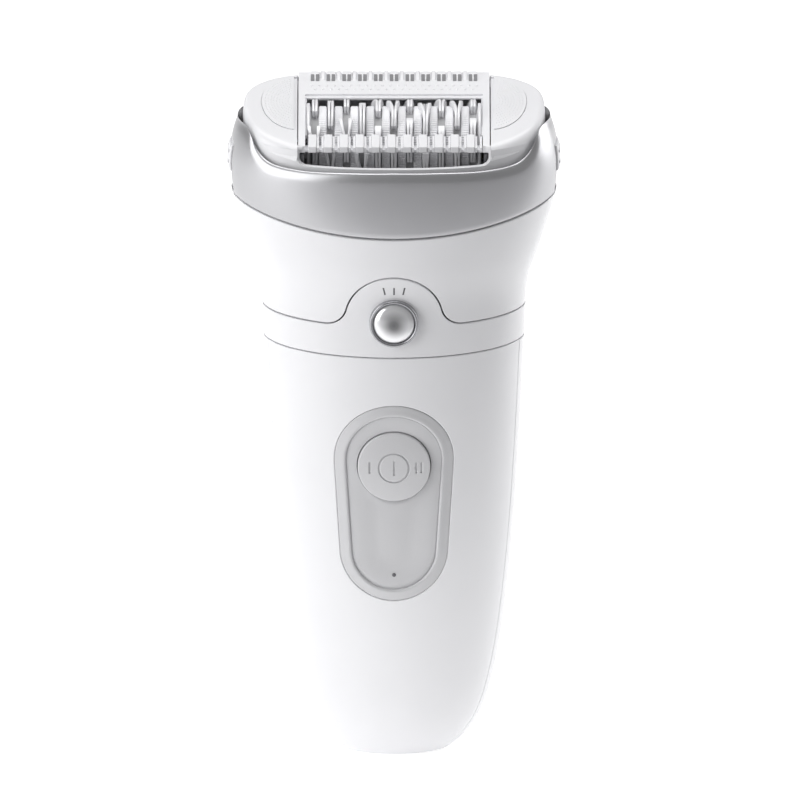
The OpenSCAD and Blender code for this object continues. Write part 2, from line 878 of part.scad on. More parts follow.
// The cap's section: a strip that follows the head's top face, clear of the drum.
module cap_section() {
  steps = 12;
  depths = [for (i = [0:steps]) cap_back + (cap_front - cap_back) * i / steps];
  under = [for (i = [steps:-1:0]) [depths[i], top_h(depths[i]) - cap_t]];
  translate([0, axis_z]) polygon(concat([for (y = depths) [y, top_h(y)]], under));
}

module cap_frame() color(shell_white) {
  half = cap_half_w - cap_bar;
  difference() {
    along_x(-cap_half_w, cap_half_w) cap_section();
    box([-half, half], [-40, window_y[1]], [0, far]);
    rod_x(tip_r + free_gap, [-half, half]);
    for (i = [0:rows - 1]) box([row_x(i) - 1.05, row_x(i) + 1.05], [13.2, 20], [axis_z + nub_low, far]);
  }
  for (s = [-1, 1]) box([s * 14 - 2, s * 14 + 2], [12.6, 14.0], [axis_z + 3, axis_z + 9.0]);
}

module cap_comb() color(shell_white) {
  half = cap_half_w - cap_bar;
  slot = 0.17;
  slot_low = top_h(cap_front) - cap_t + 0.5;
  difference() {
    along_x(-half, half) translate([0, axis_z])
      polygon(concat(
        comb_top,
        [[cap_front, top_h(cap_front) - cap_t], [window_y[0], top_h(cap_front) - cap_t]]
      ));
    rod_x(tip_r + free_gap, [-half, half]);
    for (i = [0:rows - 2], x = [-0.62, 0, 0.62]) translate([row_x(i) + pitch / 2 + x, 0, axis_z + slot_low])
      box([-slot, slot], [-20, 0], [0, 6]);
  }
}

module massage_nubs() color("#a9abb0") {
  for (i = [0:rows - 1]) translate([row_x(i), 0, axis_z])
    along_x(-0.95, 0.95)
      polygon([[13.3, nub_low], [cap_back, nub_low], [cap_back, 10.9], [15.6, 11.6], [13.3, 10.8]]);
}

front_shell();
rear_shell();
base_cap();
base_seal();
charge_socket();
socket_pins();
chassis();
battery();
battery_tabs();
circuit_board();
board_parts();
switch_contact();
charge_light();
motor_can();
gear_plate();
gear_cover();
collar_ring();
neck_shell();
light_bezel();
light_reflector();
light_lens();
light_board();
switch_panel();
thumb_pad();
knob_seal();
chassis_screws();
coupling_bush();
shaft_seal();
power_knob();
knob_wiper();
motor_shaft();
motor_pinion();
drive_gear();
coupling_shaft();
yoke_frame();
silver_bezel();
drum_carrier();
drum_bushes();
shaft_bushes();
release_springs();
release_button_left();
release_button_right();
input_shaft();
input_gear();
side_shaft();
side_gear();
crown_pinion();
drum_core();
tweezer_plates();
drum_axle();
crown_gear();
head_housing();
bay_walls();
skin_pad_left();
skin_pad_right();
cap_frame();
cap_comb();
massage_nubs();
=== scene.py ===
import json
import math

import bmesh
import bpy
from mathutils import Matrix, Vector


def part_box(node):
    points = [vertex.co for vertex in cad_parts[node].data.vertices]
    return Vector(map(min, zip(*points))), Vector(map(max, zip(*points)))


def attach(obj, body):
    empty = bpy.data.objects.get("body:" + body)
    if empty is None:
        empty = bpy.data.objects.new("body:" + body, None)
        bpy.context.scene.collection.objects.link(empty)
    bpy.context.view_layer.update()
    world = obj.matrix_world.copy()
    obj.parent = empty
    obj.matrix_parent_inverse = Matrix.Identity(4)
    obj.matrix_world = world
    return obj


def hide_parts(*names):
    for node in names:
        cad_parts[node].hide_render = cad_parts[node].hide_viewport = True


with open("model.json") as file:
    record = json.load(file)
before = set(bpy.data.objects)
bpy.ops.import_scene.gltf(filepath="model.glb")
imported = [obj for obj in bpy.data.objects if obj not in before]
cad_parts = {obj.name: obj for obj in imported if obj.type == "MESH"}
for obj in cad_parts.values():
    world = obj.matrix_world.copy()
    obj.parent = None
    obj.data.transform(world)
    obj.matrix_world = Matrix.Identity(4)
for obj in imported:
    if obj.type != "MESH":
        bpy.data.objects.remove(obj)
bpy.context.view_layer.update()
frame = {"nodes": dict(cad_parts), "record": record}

MM = 0.001
PI = math.pi

# ---- Dimensions, in millimetres, in the frame of the CAD


def span(node):
    low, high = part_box(node)
    return [c / MM for c in low], [c / MM for c in high]


OUTLINE = [
    (12.5, 0), (15.9, 3), (19.1, 8), (21.7, 16), (24.1, 30), (26.1, 50), (27.5, 72), (28.6, 96),
    (29.3, 108), (32.4, 118), (35.2, 128), (36.0, 136), (35.3, 142), (33.8, 147),
]
RATIO = 0.62                # depth of the body for its width
PARTING_Y = -5.0
COLLAR_Z = span("collar_ring")[0][2]
COLLAR_TOP = span("neck_shell")[0][2] - 0.2
LENS_Z = (span("light_bezel")[0][2] + span("light_bezel")[1][2]) / 2
LENS_R = span("light_bezel")[1][0]
KNOB_Z = (span("power_knob")[0][2] + span("power_knob")[1][2]) / 2
KNOB_R = span("power_knob")[1][0]
AXIS_Z = (span("drum_core")[0][2] + span("drum_core")[1][2]) / 2
PANEL_LOW, PANEL_HIGH = span("switch_panel")[0][2], span("switch_panel")[1][2]
BAND_Z, BAND_RISE = 124.6, 4.8
RIM_LINE = [
    (0, 1.1), (10, 0.85), (19, 0.4), (25, 0.45), (28, 1.1), (30.2, 2.8), (31.8, 5.6), (33.2, 7.0), (36, 7.3),
]
BODY_HALF = 36.0
HUMP_R = LENS_R + 5.3
FILLET_R = 4.8
HEAD_A, HEAD_B = 33.0, 18.4
PLAN_POWER = 2.35
BACK_LOW = 7.9
CAP_HALF = span("cap_frame")[1][0]
CAP_T = 1.5
CLEAR_R = 10.4              # the cap stays outside this radius round the drum
SKIN = 1.7                  # wall of the handle's casings
ROWS = 11
PITCH = 3.45
TOP_DZ, TOP_R, LEAN = 8.3, 145.0, math.radians(11.4)


def spline(points, steps):
    out = []
    for i in range(len(points) - 1):
        p = [points[min(max(i + k, 0), len(points) - 1)] for k in (-1, 0, 1, 2)]
        for s in range(steps):
            t = s / steps
            out.append(tuple(
                0.5 * (2 * b + (c - a) * t
                       + (2 * a - 5 * b + 4 * c - d) * t * t
                       + (3 * b - a - 3 * c + d) * t ** 3)
                for a, b, c, d in zip(*p)
            ))
    return out + [points[-1]]


PROFILE = spline(OUTLINE, 12)
RIM = spline(RIM_LINE, 8)


def rim_at(x):
    """Height of the bezel's rim at a place across: low in front, high at the ears."""
    x = min(abs(x), RIM[-1][0])
    for (x0, h0), (x1, h1) in zip(RIM, RIM[1:]):
        if x <= x1:
            return AXIS_Z + h0 + (h1 - h0) * (x - x0) / (x1 - x0)
    return AXIS_Z + RIM[-1][1]


def half_w(z):
    """Half width of the body at a height."""
    z = min(max(z, PROFILE[0][1]), PROFILE[-1][1])
    for (w0, z0), (w1, z1) in zip(PROFILE, PROFILE[1:]):
        if z <= z1:
            return w0 + (w1 - w0) * (z - z0) / (z1 - z0)
    return PROFILE[-1][0]


def on_body(a, z, inset=0.0):
    """The body's surface at angle a round it; 0 is +X and a quarter turn is the back."""
    w = half_w(z)
    return ((w - inset) * math.cos(a), (RATIO * w - inset) * math.sin(a), z)


def on_front(x, z, inset=0.0):
    """The body's front surface at a place in the front view."""
    w = half_w(z)
    s = min(1.0, abs(x) / (w - inset))
    return (x, -(RATIO * w - inset) * math.sqrt(1 - s * s), z)


def arc_rise(x, rise):
    """How far a seam that dips in the middle has risen at x."""
    r = (BODY_HALF ** 2 + rise ** 2) / (2 * rise)
    return r - math.sqrt(r * r - min(abs(x), BODY_HALF) ** 2)


def hump(x, grow=0.0):
    """Height of the collar's upper seam on the front, at x."""
    x = abs(x)
    r, f = HUMP_R + grow, FILLET_R - grow
    top = COLLAR_TOP + FILLET_R
    run = math.sqrt((HUMP_R + FILLET_R) ** 2 - (top - LENS_Z) ** 2)
    if x < run * r / (HUMP_R + FILLET_R):
        return LENS_Z + math.sqrt(r * r - x * x)
    if x < run:
        return top - math.sqrt(max(f * f - (run - x) ** 2, 0))
    return COLLAR_TOP + grow


def top_h(y):
    """Height of the head's crowned, leaning top face above the axis, at a depth y."""
    return TOP_DZ - TOP_R * math.cos(LEAN) + math.sqrt(TOP_R ** 2 - (TOP_R * math.sin(LEAN) - y) ** 2)


def turned(r, front, a, z):
    """A place on a circle round a forward axis at height z, at a distance in front of the middle."""
    return (r * math.sin(a), -front, z + r * math.cos(a))


def lerp(a, b, t):
    return tuple(p + (q - p) * t for p, q in zip(a, b))


def ease(t):
    t = min(max(t, 0.0), 1.0)
    return t * t * (3 - 2 * t)


def solve(f, low, high):
    """The place where f turns from negative to positive."""
    for _ in range(40):
        mid = (low + high) / 2
        if f(mid) < 0:
            low = mid
        else:
            high = mid
    return (low + high) / 2


# ---- Meshes


class Mesh:
    """Points in millimetres and faces, gathered before they become one piece."""

    def __init__(self):
        self.points, self.faces = [], []

    def add(self, points, faces):
        base = len(self.points)
        self.points += [tuple(p) for p in points]
        self.faces += [[base + i for i in f] for f in faces]

    def grid(self, rows, wrap=False, keep=None):
        n = len(rows[0])
        faces = []
        for r in range(len(rows) - 1):
            for c in range(n if wrap else n - 1):
                if keep is None or keep(r, c):
                    d = (c + 1) % n
                    faces.append([r * n + c, r * n + d, (r + 1) * n + d, (r + 1) * n + c])
        self.add([p for row in rows for p in row], faces)

    def ring(self, section_of, count, turn=2 * PI):
        """A closed section swept round; section_of(angle) gives its points."""
        rows = [section_of(turn * k / count) for k in range(count)]
        n = len(rows[0])
        faces = [
            [k * n + i, k * n + (i + 1) % n, ((k + 1) % count) * n + (i + 1) % n, ((k + 1) % count) * n + i]
            for k in range(count) for i in range(n)
        ]
        self.add([p for row in rows for p in row], faces)

    def prism(self, profile, x0, x1):
        """A (y, z) outline run along X."""
        n = len(profile)
        points = [(x, y, z) for x in (x0, x1) for y, z in profile]
        faces = [[i, (i + 1) % n, n + (i + 1) % n, n + i] for i in range(n)]
        self.add(points, faces + [list(range(n))[::-1], list(range(n, 2 * n))])

    def bar(self, rows):
        """A closed bar through a row of sections."""
        first, n = len(self.points), len(rows[0])
        self.grid(rows, wrap=True)
        last = first + (len(rows) - 1) * n
        self.faces += [list(range(first, first + n))[::-1], list(range(last, last + n))]

    def strip(self, top, bottom, y0, y1, x0, x1, steps=16):
        """A bar along Y between two heights that change with y."""
        ys = [y0 + (y1 - y0) * i / steps for i in range(steps + 1)]
        self.bar([[(x0, y, bottom(y)), (x1, y, bottom(y)), (x1, y, top(y)), (x0, y, top(y))] for y in ys])

    def box(self, x, y, z):
        self.prism([(y[0], z[0]), (y[1], z[0]), (y[1], z[1]), (y[0], z[1])], x[0], x[1])

    def dome(self, centre, radius, height, up, sides=8, rings=3):
        """A low dome that stands on centre."""
        up = Vector(up).normalized()
        side = up.orthogonal().normalized()
        other = up.cross(side)
        rows = []
        for r in range(rings + 1):
            t = PI / 2 * r / (rings + 0.35)
            rows.append([
                tuple(
                    Vector(centre) + radius * math.cos(t)
                    * (math.cos(2 * PI * k / sides) * side + math.sin(2 * PI * k / sides) * other)
                    + up * (height * math.sin(t) - (0.15 if r == 0 else 0))
                )
                for k in range(sides)
            ])
        base = len(self.points)
        self.grid(rows, wrap=True)
        self.faces.append([base + k for k in range(sides)][::-1])
        self.faces.append([base + rings * sides + k for k in range(sides)])


def mesh_data(name, mesh):
    """The mesh in metres, as Blender holds it."""
    data = bpy.data.meshes.new(name)
    data.from_pydata([tuple(c * MM for c in p) for p in mesh.points], [], mesh.faces)
    return data


def piece(name, mesh, body, look, replaces=(), outward=None, thick=0.0, bevel=0.0,
          angle=35, segments=3, smooth=True, even=True, cut=()):
    """Makes a piece of the model. An open patch has outward, a point behind it, and thick."""
    data = mesh_data(name, mesh)
    bm = bmesh.new()
    bm.from_mesh(data)
    bmesh.ops.remove_doubles(bm, verts=bm.verts, dist=2e-6)
    bmesh.ops.dissolve_degenerate(bm, edges=bm.edges, dist=2e-6)
    bmesh.ops.recalc_face_normals(bm, faces=bm.faces)
    if outward is not None:
        ref = Vector(outward) * MM
        if sum(f.normal.dot(f.calc_center_median() - ref) * f.calc_area() for f in bm.faces) < 0:
            bmesh.ops.reverse_faces(bm, faces=bm.faces)
    for f in bm.faces:
        f.smooth = smooth
    bm.to_mesh(data)
    bm.free()
    obj = bpy.data.objects.new(name, data)
    bpy.context.scene.collection.objects.link(obj)
    if thick:
        solid = obj.modifiers.new("thickness", "SOLIDIFY")
        solid.thickness, solid.offset, solid.use_even_offset = thick * MM, -1, even
    for tool in cut:
        boolean = obj.modifiers.new("cut", "BOOLEAN")
        boolean.operation, boolean.object, boolean.solver = "DIFFERENCE", tool, "EXACT"
    if bevel:
        round_edges = obj.modifiers.new("bevel", "BEVEL")
        round_edges.width, round_edges.segments = bevel * MM, segments
        round_edges.limit_method, round_edges.angle_limit = "ANGLE", math.radians(angle)
        round_edges.harden_normals = True
    if thick or cut or bevel:
        graph = bpy.context.evaluated_depsgraph_get()
        done = bpy.data.meshes.new_from_object(obj.evaluated_get(graph))
        obj.modifiers.clear()
        obj.data = done
        for tool in cut:
            bpy.data.objects.remove(tool)
    obj.data.materials.clear()
    obj.data.materials.append(look)
    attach(obj, body)
    if replaces:
        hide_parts(*replaces)
    return obj


def cutter(mesh):
    """A solid that is only used to cut another."""
    data = mesh_data("cutter", mesh)
    bm = bmesh.new()
    bm.from_mesh(data)
    bmesh.ops.recalc_face_normals(bm, faces=bm.faces)
    bm.to_mesh(data)
    bm.free()
    obj = bpy.data.objects.new("cutter", data)
    bpy.context.scene.collection.objects.link(obj)
    return obj


# ---- Materials


def material(name, colour, rough, metal=0.0, tint=0.03, grain=900.0, bump=0.02, coat=0.0, brushed=None):
    """A moulded or plated surface: two close tones, uneven gloss and a fine relief."""
    rough_spread = 0.05
    m = bpy.data.materials.new(name)
    m.use_nodes = True
    nodes, links = m.node_tree.nodes, m.node_tree.links
    shader = nodes["Principled BSDF"]
    shader.inputs["Metallic"].default_value = metal
    shader.inputs["Coat Weight"].default_value = coat
    shader.inputs["Coat Roughness"].default_value = 0.06
    place = nodes.new("ShaderNodeTexCoord")
    scale = nodes.new("ShaderNodeMapping")
    links.new(place.outputs["Object"], scale.inputs["Vector"])
    if brushed:
        scale.inputs["Scale"].default_value = brushed
    broad = nodes.new("ShaderNodeTexNoise")
    broad.inputs["Scale"].default_value = 70.0
    broad.inputs["Detail"].default_value = 3.0
    links.new(scale.outputs["Vector"], broad.inputs["Vector"])
    tones = nodes.new("ShaderNodeValToRGB")
    tones.color_ramp.elements[0].position, tones.color_ramp.elements[1].position = 0.3, 0.7
    tones.color_ramp.elements[0].color = (*[c * (1 - tint) for c in colour], 1)
    tones.color_ramp.elements[1].color = (*[min(1.0, c * (1 + tint / 2)) for c in colour], 1)
    links.new(broad.outputs["Fac"], tones.inputs["Fac"])
    links.new(tones.outputs["Color"], shader.inputs["Base Color"])
    gloss = nodes.new("ShaderNodeMapRange")
    gloss.inputs["To Min"].default_value = max(0.02, rough - rough_spread)
    gloss.inputs["To Max"].default_value = rough + rough_spread
    links.new(broad.outputs["Fac"], gloss.inputs["Value"])
    links.new(gloss.outputs["Result"], shader.inputs["Roughness"])
    fine = nodes.new("ShaderNodeTexNoise")
    fine.inputs["Scale"].default_value = grain
    fine.inputs["Detail"].default_value = 2.0
    links.new(scale.outputs["Vector"], fine.inputs["Vector"])
    relief = nodes.new("ShaderNodeBump")
    relief.inputs["Strength"].default_value = bump
    relief.inputs["Distance"].default_value = 0.0001
    links.new(fine.outputs["Fac"], relief.inputs["Height"])
    links.new(relief.outputs["Normal"], shader.inputs["Normal"])
    return m


def lens_material():
    """A pearly dome over a lamp with light painted into its colour: dark at the middle, a bright ring of
    painted highlight round it, greyer at the rim.
    """
    m = material("lens_dome_painted_highlight", (0.8, 0.8, 0.82), 0.16, metal=0.55, bump=0.01, coat=0.6)
    nodes, links = m.node_tree.nodes, m.node_tree.links
    shader = nodes["Principled BSDF"]
    place = nodes.new("ShaderNodeTexCoord")
    move = nodes.new("ShaderNodeMapping")
    move.inputs["Location"].default_value = (0, 0, -LENS_Z * MM)
    links.new(place.outputs["Object"], move.inputs["Vector"])
    flat = nodes.new("ShaderNodeVectorMath")
    flat.operation = "MULTIPLY"
    flat.inputs[1].default_value = (1, 0, 1)
    links.new(move.outputs["Vector"], flat.inputs[0])
    length = nodes.new("ShaderNodeVectorMath")
    length.operation = "LENGTH"
    links.new(flat.outputs["Vector"], length.inputs[0])
    # The ramp paints the dome's light into its base colour: the bright ring is a painted highlight.
    ramp = nodes.new("ShaderNodeValToRGB")
    spread = nodes.new("ShaderNodeMapRange")
    spread.inputs["From Max"].default_value = LENS_R * MM
    links.new(length.outputs["Value"], spread.inputs["Value"])
    links.new(spread.outputs["Result"], ramp.inputs["Fac"])
    e = ramp.color_ramp.elements
    e[0].position, e[0].color = 0.0, (0.19, 0.19, 0.2, 1)
    e[1].position, e[1].color = 0.95, (0.42, 0.42, 0.44, 1)
    for position, value in ((0.16, 0.26), (0.42, 0.62), (0.62, 0.86), (0.8, 0.8)):
        new = e.new(position)
        new.color = (value, value, value * 1.02, 1)
    links.new(ramp.outputs["Color"], shader.inputs["Base Color"])
    return m


WHITE = material("white_gloss", (0.83, 0.83, 0.85), 0.2, tint=0.012, grain=420, bump=0.012, coat=0.35)
HEAD_WHITE = material("white_head", (0.82, 0.82, 0.84), 0.3, tint=0.012, grain=600, bump=0.015, coat=0.15)
CAP_WHITE = material("white_cap", (0.84, 0.84, 0.86), 0.34, tint=0.015, grain=800, bump=0.02)
BUTTON_WHITE = material("white_button", (0.8, 0.8, 0.82), 0.35, tint=0.015, grain=900, bump=0.03)
PAD_WHITE = material("pad_satin", (0.8, 0.8, 0.82), 0.4, tint=0.02, grain=1500, bump=0.05)
SILVER = material("silver_lacquer", (0.5, 0.5, 0.515), 0.3, metal=0.8, tint=0.02, grain=2600, bump=0.03)
RIM_SILVER = material("lens_ring_metal", (0.42, 0.42, 0.44), 0.22, metal=0.9, tint=0.02, bump=0.01)
PANEL = material("panel_satin", (0.6, 0.6, 0.615), 0.38, tint=0.02, grain=1600, bump=0.05)
THUMB = material("thumb_matt", (0.6, 0.6, 0.615), 0.5, tint=0.02, grain=2200, bump=0.09)
KNOB = material("knob_satin", (0.62, 0.62, 0.635), 0.4, tint=0.02, grain=1800, bump=0.06)
DARK = material("dark_moulded", (0.06, 0.06, 0.065), 0.45, tint=0.1, bump=0.05)
BAY = material("bay_grey", (0.16, 0.16, 0.17), 0.42, tint=0.06, bump=0.04)
RUBBER = material("seal_rubber", (0.03, 0.03, 0.032), 0.7, tint=0.15, grain=1500, bump=0.15)
FRAME_GREY = material("frame_moulded", (0.45, 0.45, 0.47), 0.5, tint=0.04, bump=0.06)
STEEL = material("turned_steel", (0.56, 0.57, 0.59), 0.27, metal=1.0, tint=0.06, bump=0.05,
                 brushed=(1, 1, 14))
CAN = material("plated_can", (0.52, 0.53, 0.55), 0.33, metal=1.0, tint=0.06, brushed=(1, 1, 10), bump=0.05)
SLEEVE = material("cell_sleeve", (0.07, 0.13, 0.27), 0.35, tint=0.05, bump=0.03, coat=0.3)
BRASS = material("turned_brass", (0.62, 0.46, 0.2), 0.3, metal=1.0, tint=0.06, brushed=(1, 1, 12), bump=0.05)
GEAR = material("gear_acetal", (0.72, 0.69, 0.58), 0.42, tint=0.04, bump=0.04)
BOARD = material("board_mask", (0.03, 0.17, 0.08), 0.3, tint=0.12, bump=0.06, coat=0.3)
DRUM = material("drum_core_grey", (0.86, 0.86, 0.88), 0.36, tint=0.03, grain=700, bump=0.03)
TWEEZER = material("tweezer_pale", (0.86, 0.86, 0.88), 0.3, metal=0.05, tint=0.02, bump=0.02, coat=0.2)
NUB = material("nub_grey", (0.5, 0.5, 0.52), 0.38, tint=0.04, bump=0.03)
# painted shade for the release buttons' grooves
BUTTON_GROOVE_SHADE = material("button_groove_painted_shade", (0.58, 0.58, 0.6), 0.35, tint=0.03, bump=0.03)
# painted shade for the slots beside the nubs
NUB_SLOT_SHADE = material("nub_slot_painted_shade", (0.2, 0.2, 0.21), 0.5, tint=0.06, bump=0.03)
# painted shade for the grooves between the drum's beads
GROOVE_SHADE = material("drum_groove_painted_shade", (0.42, 0.42, 0.43), 0.45, tint=0.06, bump=0.03)
INK = material("mark_grey", (0.13, 0.13, 0.14), 0.5, tint=0.1, bump=0.02)
LENS = lens_material()
MIRROR = material("reflector", (0.85, 0.85, 0.87), 0.08, metal=1.0, tint=0.02, bump=0.01)

BY_SLOT = {
    "shell_white": WHITE, "button_white": BUTTON_WHITE, "head_white": HEAD_WHITE, "cap_white": CAP_WHITE,
    "pad_white": PAD_WHITE, "nub_grey": NUB, "silver_trim": SILVER, "lens_ring": RIM_SILVER,
    "panel_grey": PANEL, "thumb_grey": THUMB, "knob_grey": KNOB, "frame_plastic": FRAME_GREY,
    "dark_plastic": DARK, "bay_grey": BAY, "seal_rubber": RUBBER, "steel": STEEL, "cell_sleeve": SLEEVE,
    "can_metal": CAN, "brass": BRASS, "gear_plastic": GEAR, "board_green": BOARD, "drum_grey": DRUM,
    "tweezer_metal": TWEEZER, "reflector": MIRROR, "lens_clear": LENS, "led_clear": INK,
}
for entry in frame["record"]["subparts"]:
    node = frame["nodes"][entry["node"]]
    for held in node.material_slots:
        held.material = BY_SLOT[entry["material_slot"]]

# ---- Handle


def shell_from(low_of, high_of, angles, rows):
    """A band of the body's surface between two seams, as columns at fixed angles."""
    columns = [(a, low_of(a), high_of(a)) for a in angles]
    mesh = Mesh()
    mesh.grid([
        [on_body(a, z0 + (z1 - z0) * r / rows) for a, z0, z1 in columns]
        for r in range(rows + 1)
    ], wrap=True)
    return mesh


def parting_angle(z):
    """Angle in front of the widest line where the front and rear shells meet."""
    return math.asin(min(1.0, (-PARTING_Y - 0.12) / (RATIO * half_w(z))))


def panel_gap(x, z):
    """Distance outside the outline of the switch panel, a slot that narrows downwards."""
    low_r, high_r = 11.8, 13.05
    low = PANEL_LOW - 0.1 + low_r
    h = PANEL_HIGH + 0.1 - high_r - low
    b = (low_r - high_r) / h
    a = math.sqrt(1 - b * b)
    x, z = abs(x), z - low
    k = -b * x + a * z
    if k < 0:
        return math.hypot(x, z) - low_r
    if k > a * h:
        return math.hypot(x, z - h) - high_r
    return a * x + b * z - low_r


PANEL_MID = (PANEL_LOW + PANEL_HIGH) / 2


def on_outline(dx, dz, level, mid=PANEL_MID):
    """The place where a ray from the panel's middle meets the panel's outline, drawn in by level."""
    size = math.hypot(dx, dz)
    t = solve(lambda t: panel_gap(t * dx / size, mid + t * dz / size) + level, 0, 60)
    return t * dx / size, mid + t * dz / size


def handle_front():
    """The front shell: a ring of columns from the panel's outline to the shell's own edge."""
    top = COLLAR_Z - 0.15
    edge = []
    side_n, cap_n, foot_n = 64, 34, 18
    x_of = lambda z: half_w(z) * math.cos(parting_angle(z))
    for i in range(cap_n):
        edge.append((-x_of(top) + 2 * x_of(top) * i / cap_n, top))
    for i in range(side_n):
        z = top * (1 - i / side_n)
        edge.append((x_of(z), z))
    for i in range(foot_n):
        edge.append((x_of(0) - 2 * x_of(0) * i / foot_n, 0.0))
    for i in range(side_n):
        z = top * i / side_n
        edge.append((-x_of(z), z))
    rows_n = 26
    rows = []
    inner = [on_outline(x, z - PANEL_MID, -0.06) for x, z in edge]
    for r in range(rows_n + 1):
        t = r / rows_n
        row = []
        for (x0, z0), (x1, z1) in zip(inner, edge):
            z = z0 + (z1 - z0) * t
            s = x0 / half_w(z0) + (x1 / half_w(z1) - x0 / half_w(z0)) * t
            row.append(on_front(s * half_w(z), z))
        rows.append(row)
    mesh = Mesh()
    mesh.grid(rows, wrap=True)
    piece("front_casing", mesh, "handle", WHITE, ["front_shell"],
          outward=(0, 0, 50), thick=SKIN, bevel=0.22)


def handle_rear():
    """The rear shell, from one parting line round the back to the other."""
    rows_n, cols = 60, 110
    top = COLLAR_Z - 0.15
    rows = []
    for r in range(rows_n + 1):
        z = top * (r / rows_n) ** 1.25
        p = parting_angle(z)
        rows.append([on_body(-p + (PI + 2 * p) * c / cols, z) for c in range(cols + 1)])
    mesh = Mesh()
    mesh.grid(rows)
    piece("rear_casing", mesh, "handle", WHITE, ["rear_shell"],
          outward=(0, -4, 50), thick=SKIN, bevel=0.22)


def foot_rim():
    """The flat foot between the shells and the base cap."""
    def section(a):
        c, s = math.cos(a), math.sin(a)
        outer = on_body(a, 0.05, 0.2)
        reach = solve(lambda t: slot_gap(t * c, t * s), 0, 30)
        hole = (reach * c * 1.01, reach * s * 1.01)
        top = [(outer[0], outer[1], SKIN), (*hole, SKIN)]
        return [outer, *top, (*hole, 0.25), (*lerp(hole, outer[:2], 0.15), 0.02)]

    def slot_gap(x, y):
        """Distance outside the round-ended opening of the base cap."""
        r, half = 6.1, 10.1
        return math.hypot(max(abs(x) - (half - r), 0), y) - r

    mesh = Mesh()
    mesh.ring(section, 96)
    piece("foot_rim", mesh, "handle", WHITE, angle=50)


def collar_angles():
    """Angles round the body, close together where the hump is steep."""
    angles = []
    limit = 17.0
    x = -limit
    while x < limit:
        angles.append(-math.acos(x / half_w(hump(x))))
        slope = abs(hump(x + 0.05) - hump(x - 0.05)) / 0.1
        x += 0.75 / math.sqrt(1 + slope * slope)
    first, last = angles[0], -math.acos(limit / half_w(hump(limit)))
    rest = 150
    sweep = 2 * PI - (last - first)
    return angles + [last + sweep * k / rest for k in range(rest)]


def band_seam(a, base):
    """Height of the seam under the silver bezel at an angle, for its height in the middle."""
    z = base
    for _ in range(12):
        z = base + arc_rise(half_w(z) * math.cos(a), BAND_RISE)
    return z


def collar_and_neck():
    """The collar with its hump, the neck above it, and the three marks over the light."""
    angles = collar_angles()

    def seam(a, grow):
        if math.sin(a) > 0:
            return COLLAR_TOP + grow
        z = COLLAR_TOP
        for _ in range(30):
            z = 0.5 * z + 0.5 * hump(half_w(z) * math.cos(a), grow)
        return z

    ring = shell_from(lambda a: COLLAR_Z + 0.1, lambda a: seam(a, -0.08), angles, 14)
    piece("collar_casing", ring, "handle", WHITE, ["collar_ring"],
          outward=(0, 0, 100), thick=SKIN, bevel=0.2)
    neck = shell_from(lambda a: seam(a, 0.22), lambda a: band_seam(a, BAND_Z) - 0.12, angles, 20)
    piece("neck_casing", neck, "handle", WHITE, ["neck_shell"],
          outward=(0, 0, 112), thick=SKIN, bevel=0.22)
    ticks = Mesh()
    spacing, tick_z, half_long, half_wide = 2.15, 111.9, 0.88, 0.17
    for k in (-1, 0, 1):
        lean = math.radians(12) * k
        rows = []
        for r in range(5):
            t = half_long * (r / 2 - 1)
            row = []
            for c in (-half_wide, half_wide):
                x = k * spacing + c * math.cos(lean) + t * math.sin(lean)
                z = tick_z + t * math.cos(lean)
                row.append(on_front(x, z, -0.03))
            rows.append(row)
        ticks.grid(rows)
    piece("light_ticks", ticks, "handle", INK, outward=(0, 0, 112), thick=0.12)


def bezel():
    """The silver bezel: outer wall, rounded rim and inner wall, swept round the body."""
    lip, edge = 2.3, 0.35
    mouth, well = (34.4, 21.2), (30.8, 18.3)
    shelf_z, floor_z, ear_z = 132.0, 130.7, 144.9

    def oval(size, a, less=0.0):
        return ((size[0] - less) * math.cos(a), (size[1] - less) * math.sin(a))

    def section(a):
        z0 = band_seam(a, BAND_Z + 0.3)
        rim = rim_at(35.0 * math.cos(a))
        inner = oval(mouth, a, 0.3 * ease((rim - ear_z) / 1.3))
        mid_in, low_in = oval(mouth, a), oval(well, a)
        foot = ((0.25, 1.6), (0, 1.2), (0, 0.25), (0.12, 0.06))
        points = [on_body(a, z0 + up, inset) for up, inset in foot]
        wall = rim - lip
        points += [on_body(a, z0 + 0.3 + (wall - z0 - 0.3) * i / 12) for i in range(13)]
        for i in range(1, 8):
            t = PI / 2 * i / 7
            z = wall + lip * math.sin(t)
            outer = on_body(a, z)
            points.append((*lerp(outer[:2], inner, 0.86 * (1 - math.cos(t))), z))
        points.append((*inner, rim - edge))
        points += [(*mid_in, rim - 1.6), (*mid_in, shelf_z), (*low_in, floor_z + 0.3), (*low_in, floor_z)]
        return points

    mesh = Mesh()
    mesh.ring(section, 288)
    cuts = []
    for s in (-1, 1):
        hole = Mesh()
        profile = []
        r, half, z0, z1 = 0.9, 3.9, 129.75, 141.3
        y, low, high = half - r, z0 + r, z1 - r
        corners = ((y, high, 0), (-y, high, 90), (-y, low, 180), (y, low, 270))
        for cy, cz, start in corners:
            for k in range(7):
                t = math.radians(start + 15 * k)
                profile.append((cy + r * math.cos(t), cz + r * math.sin(t)))
        hole.prism(profile, *sorted((s * 32.0, s * 40)))
        cuts.append(cutter(hole))
    piece("silver_bezel_trim", mesh, "yoke", SILVER, ["silver_bezel"], cut=cuts)


def side_patch(s, inset, half, z0, z1, across=10, up=16):
    """A patch of the body's side, s = -1 at the left, between two heights."""
    rows = []
    for i in range(up + 1):
        z = z0 + (z1 - z0) * i / up
        w = half_w(z) - inset
        d = RATIO * half_w(z) - inset
        ys = [half * (2 * k / across - 1) for k in range(across + 1)]
        rows.append([(s * w * math.sqrt(1 - (y / d) ** 2), y, z) for y in ys])
    mesh = Mesh()
    mesh.grid(rows)
    return mesh


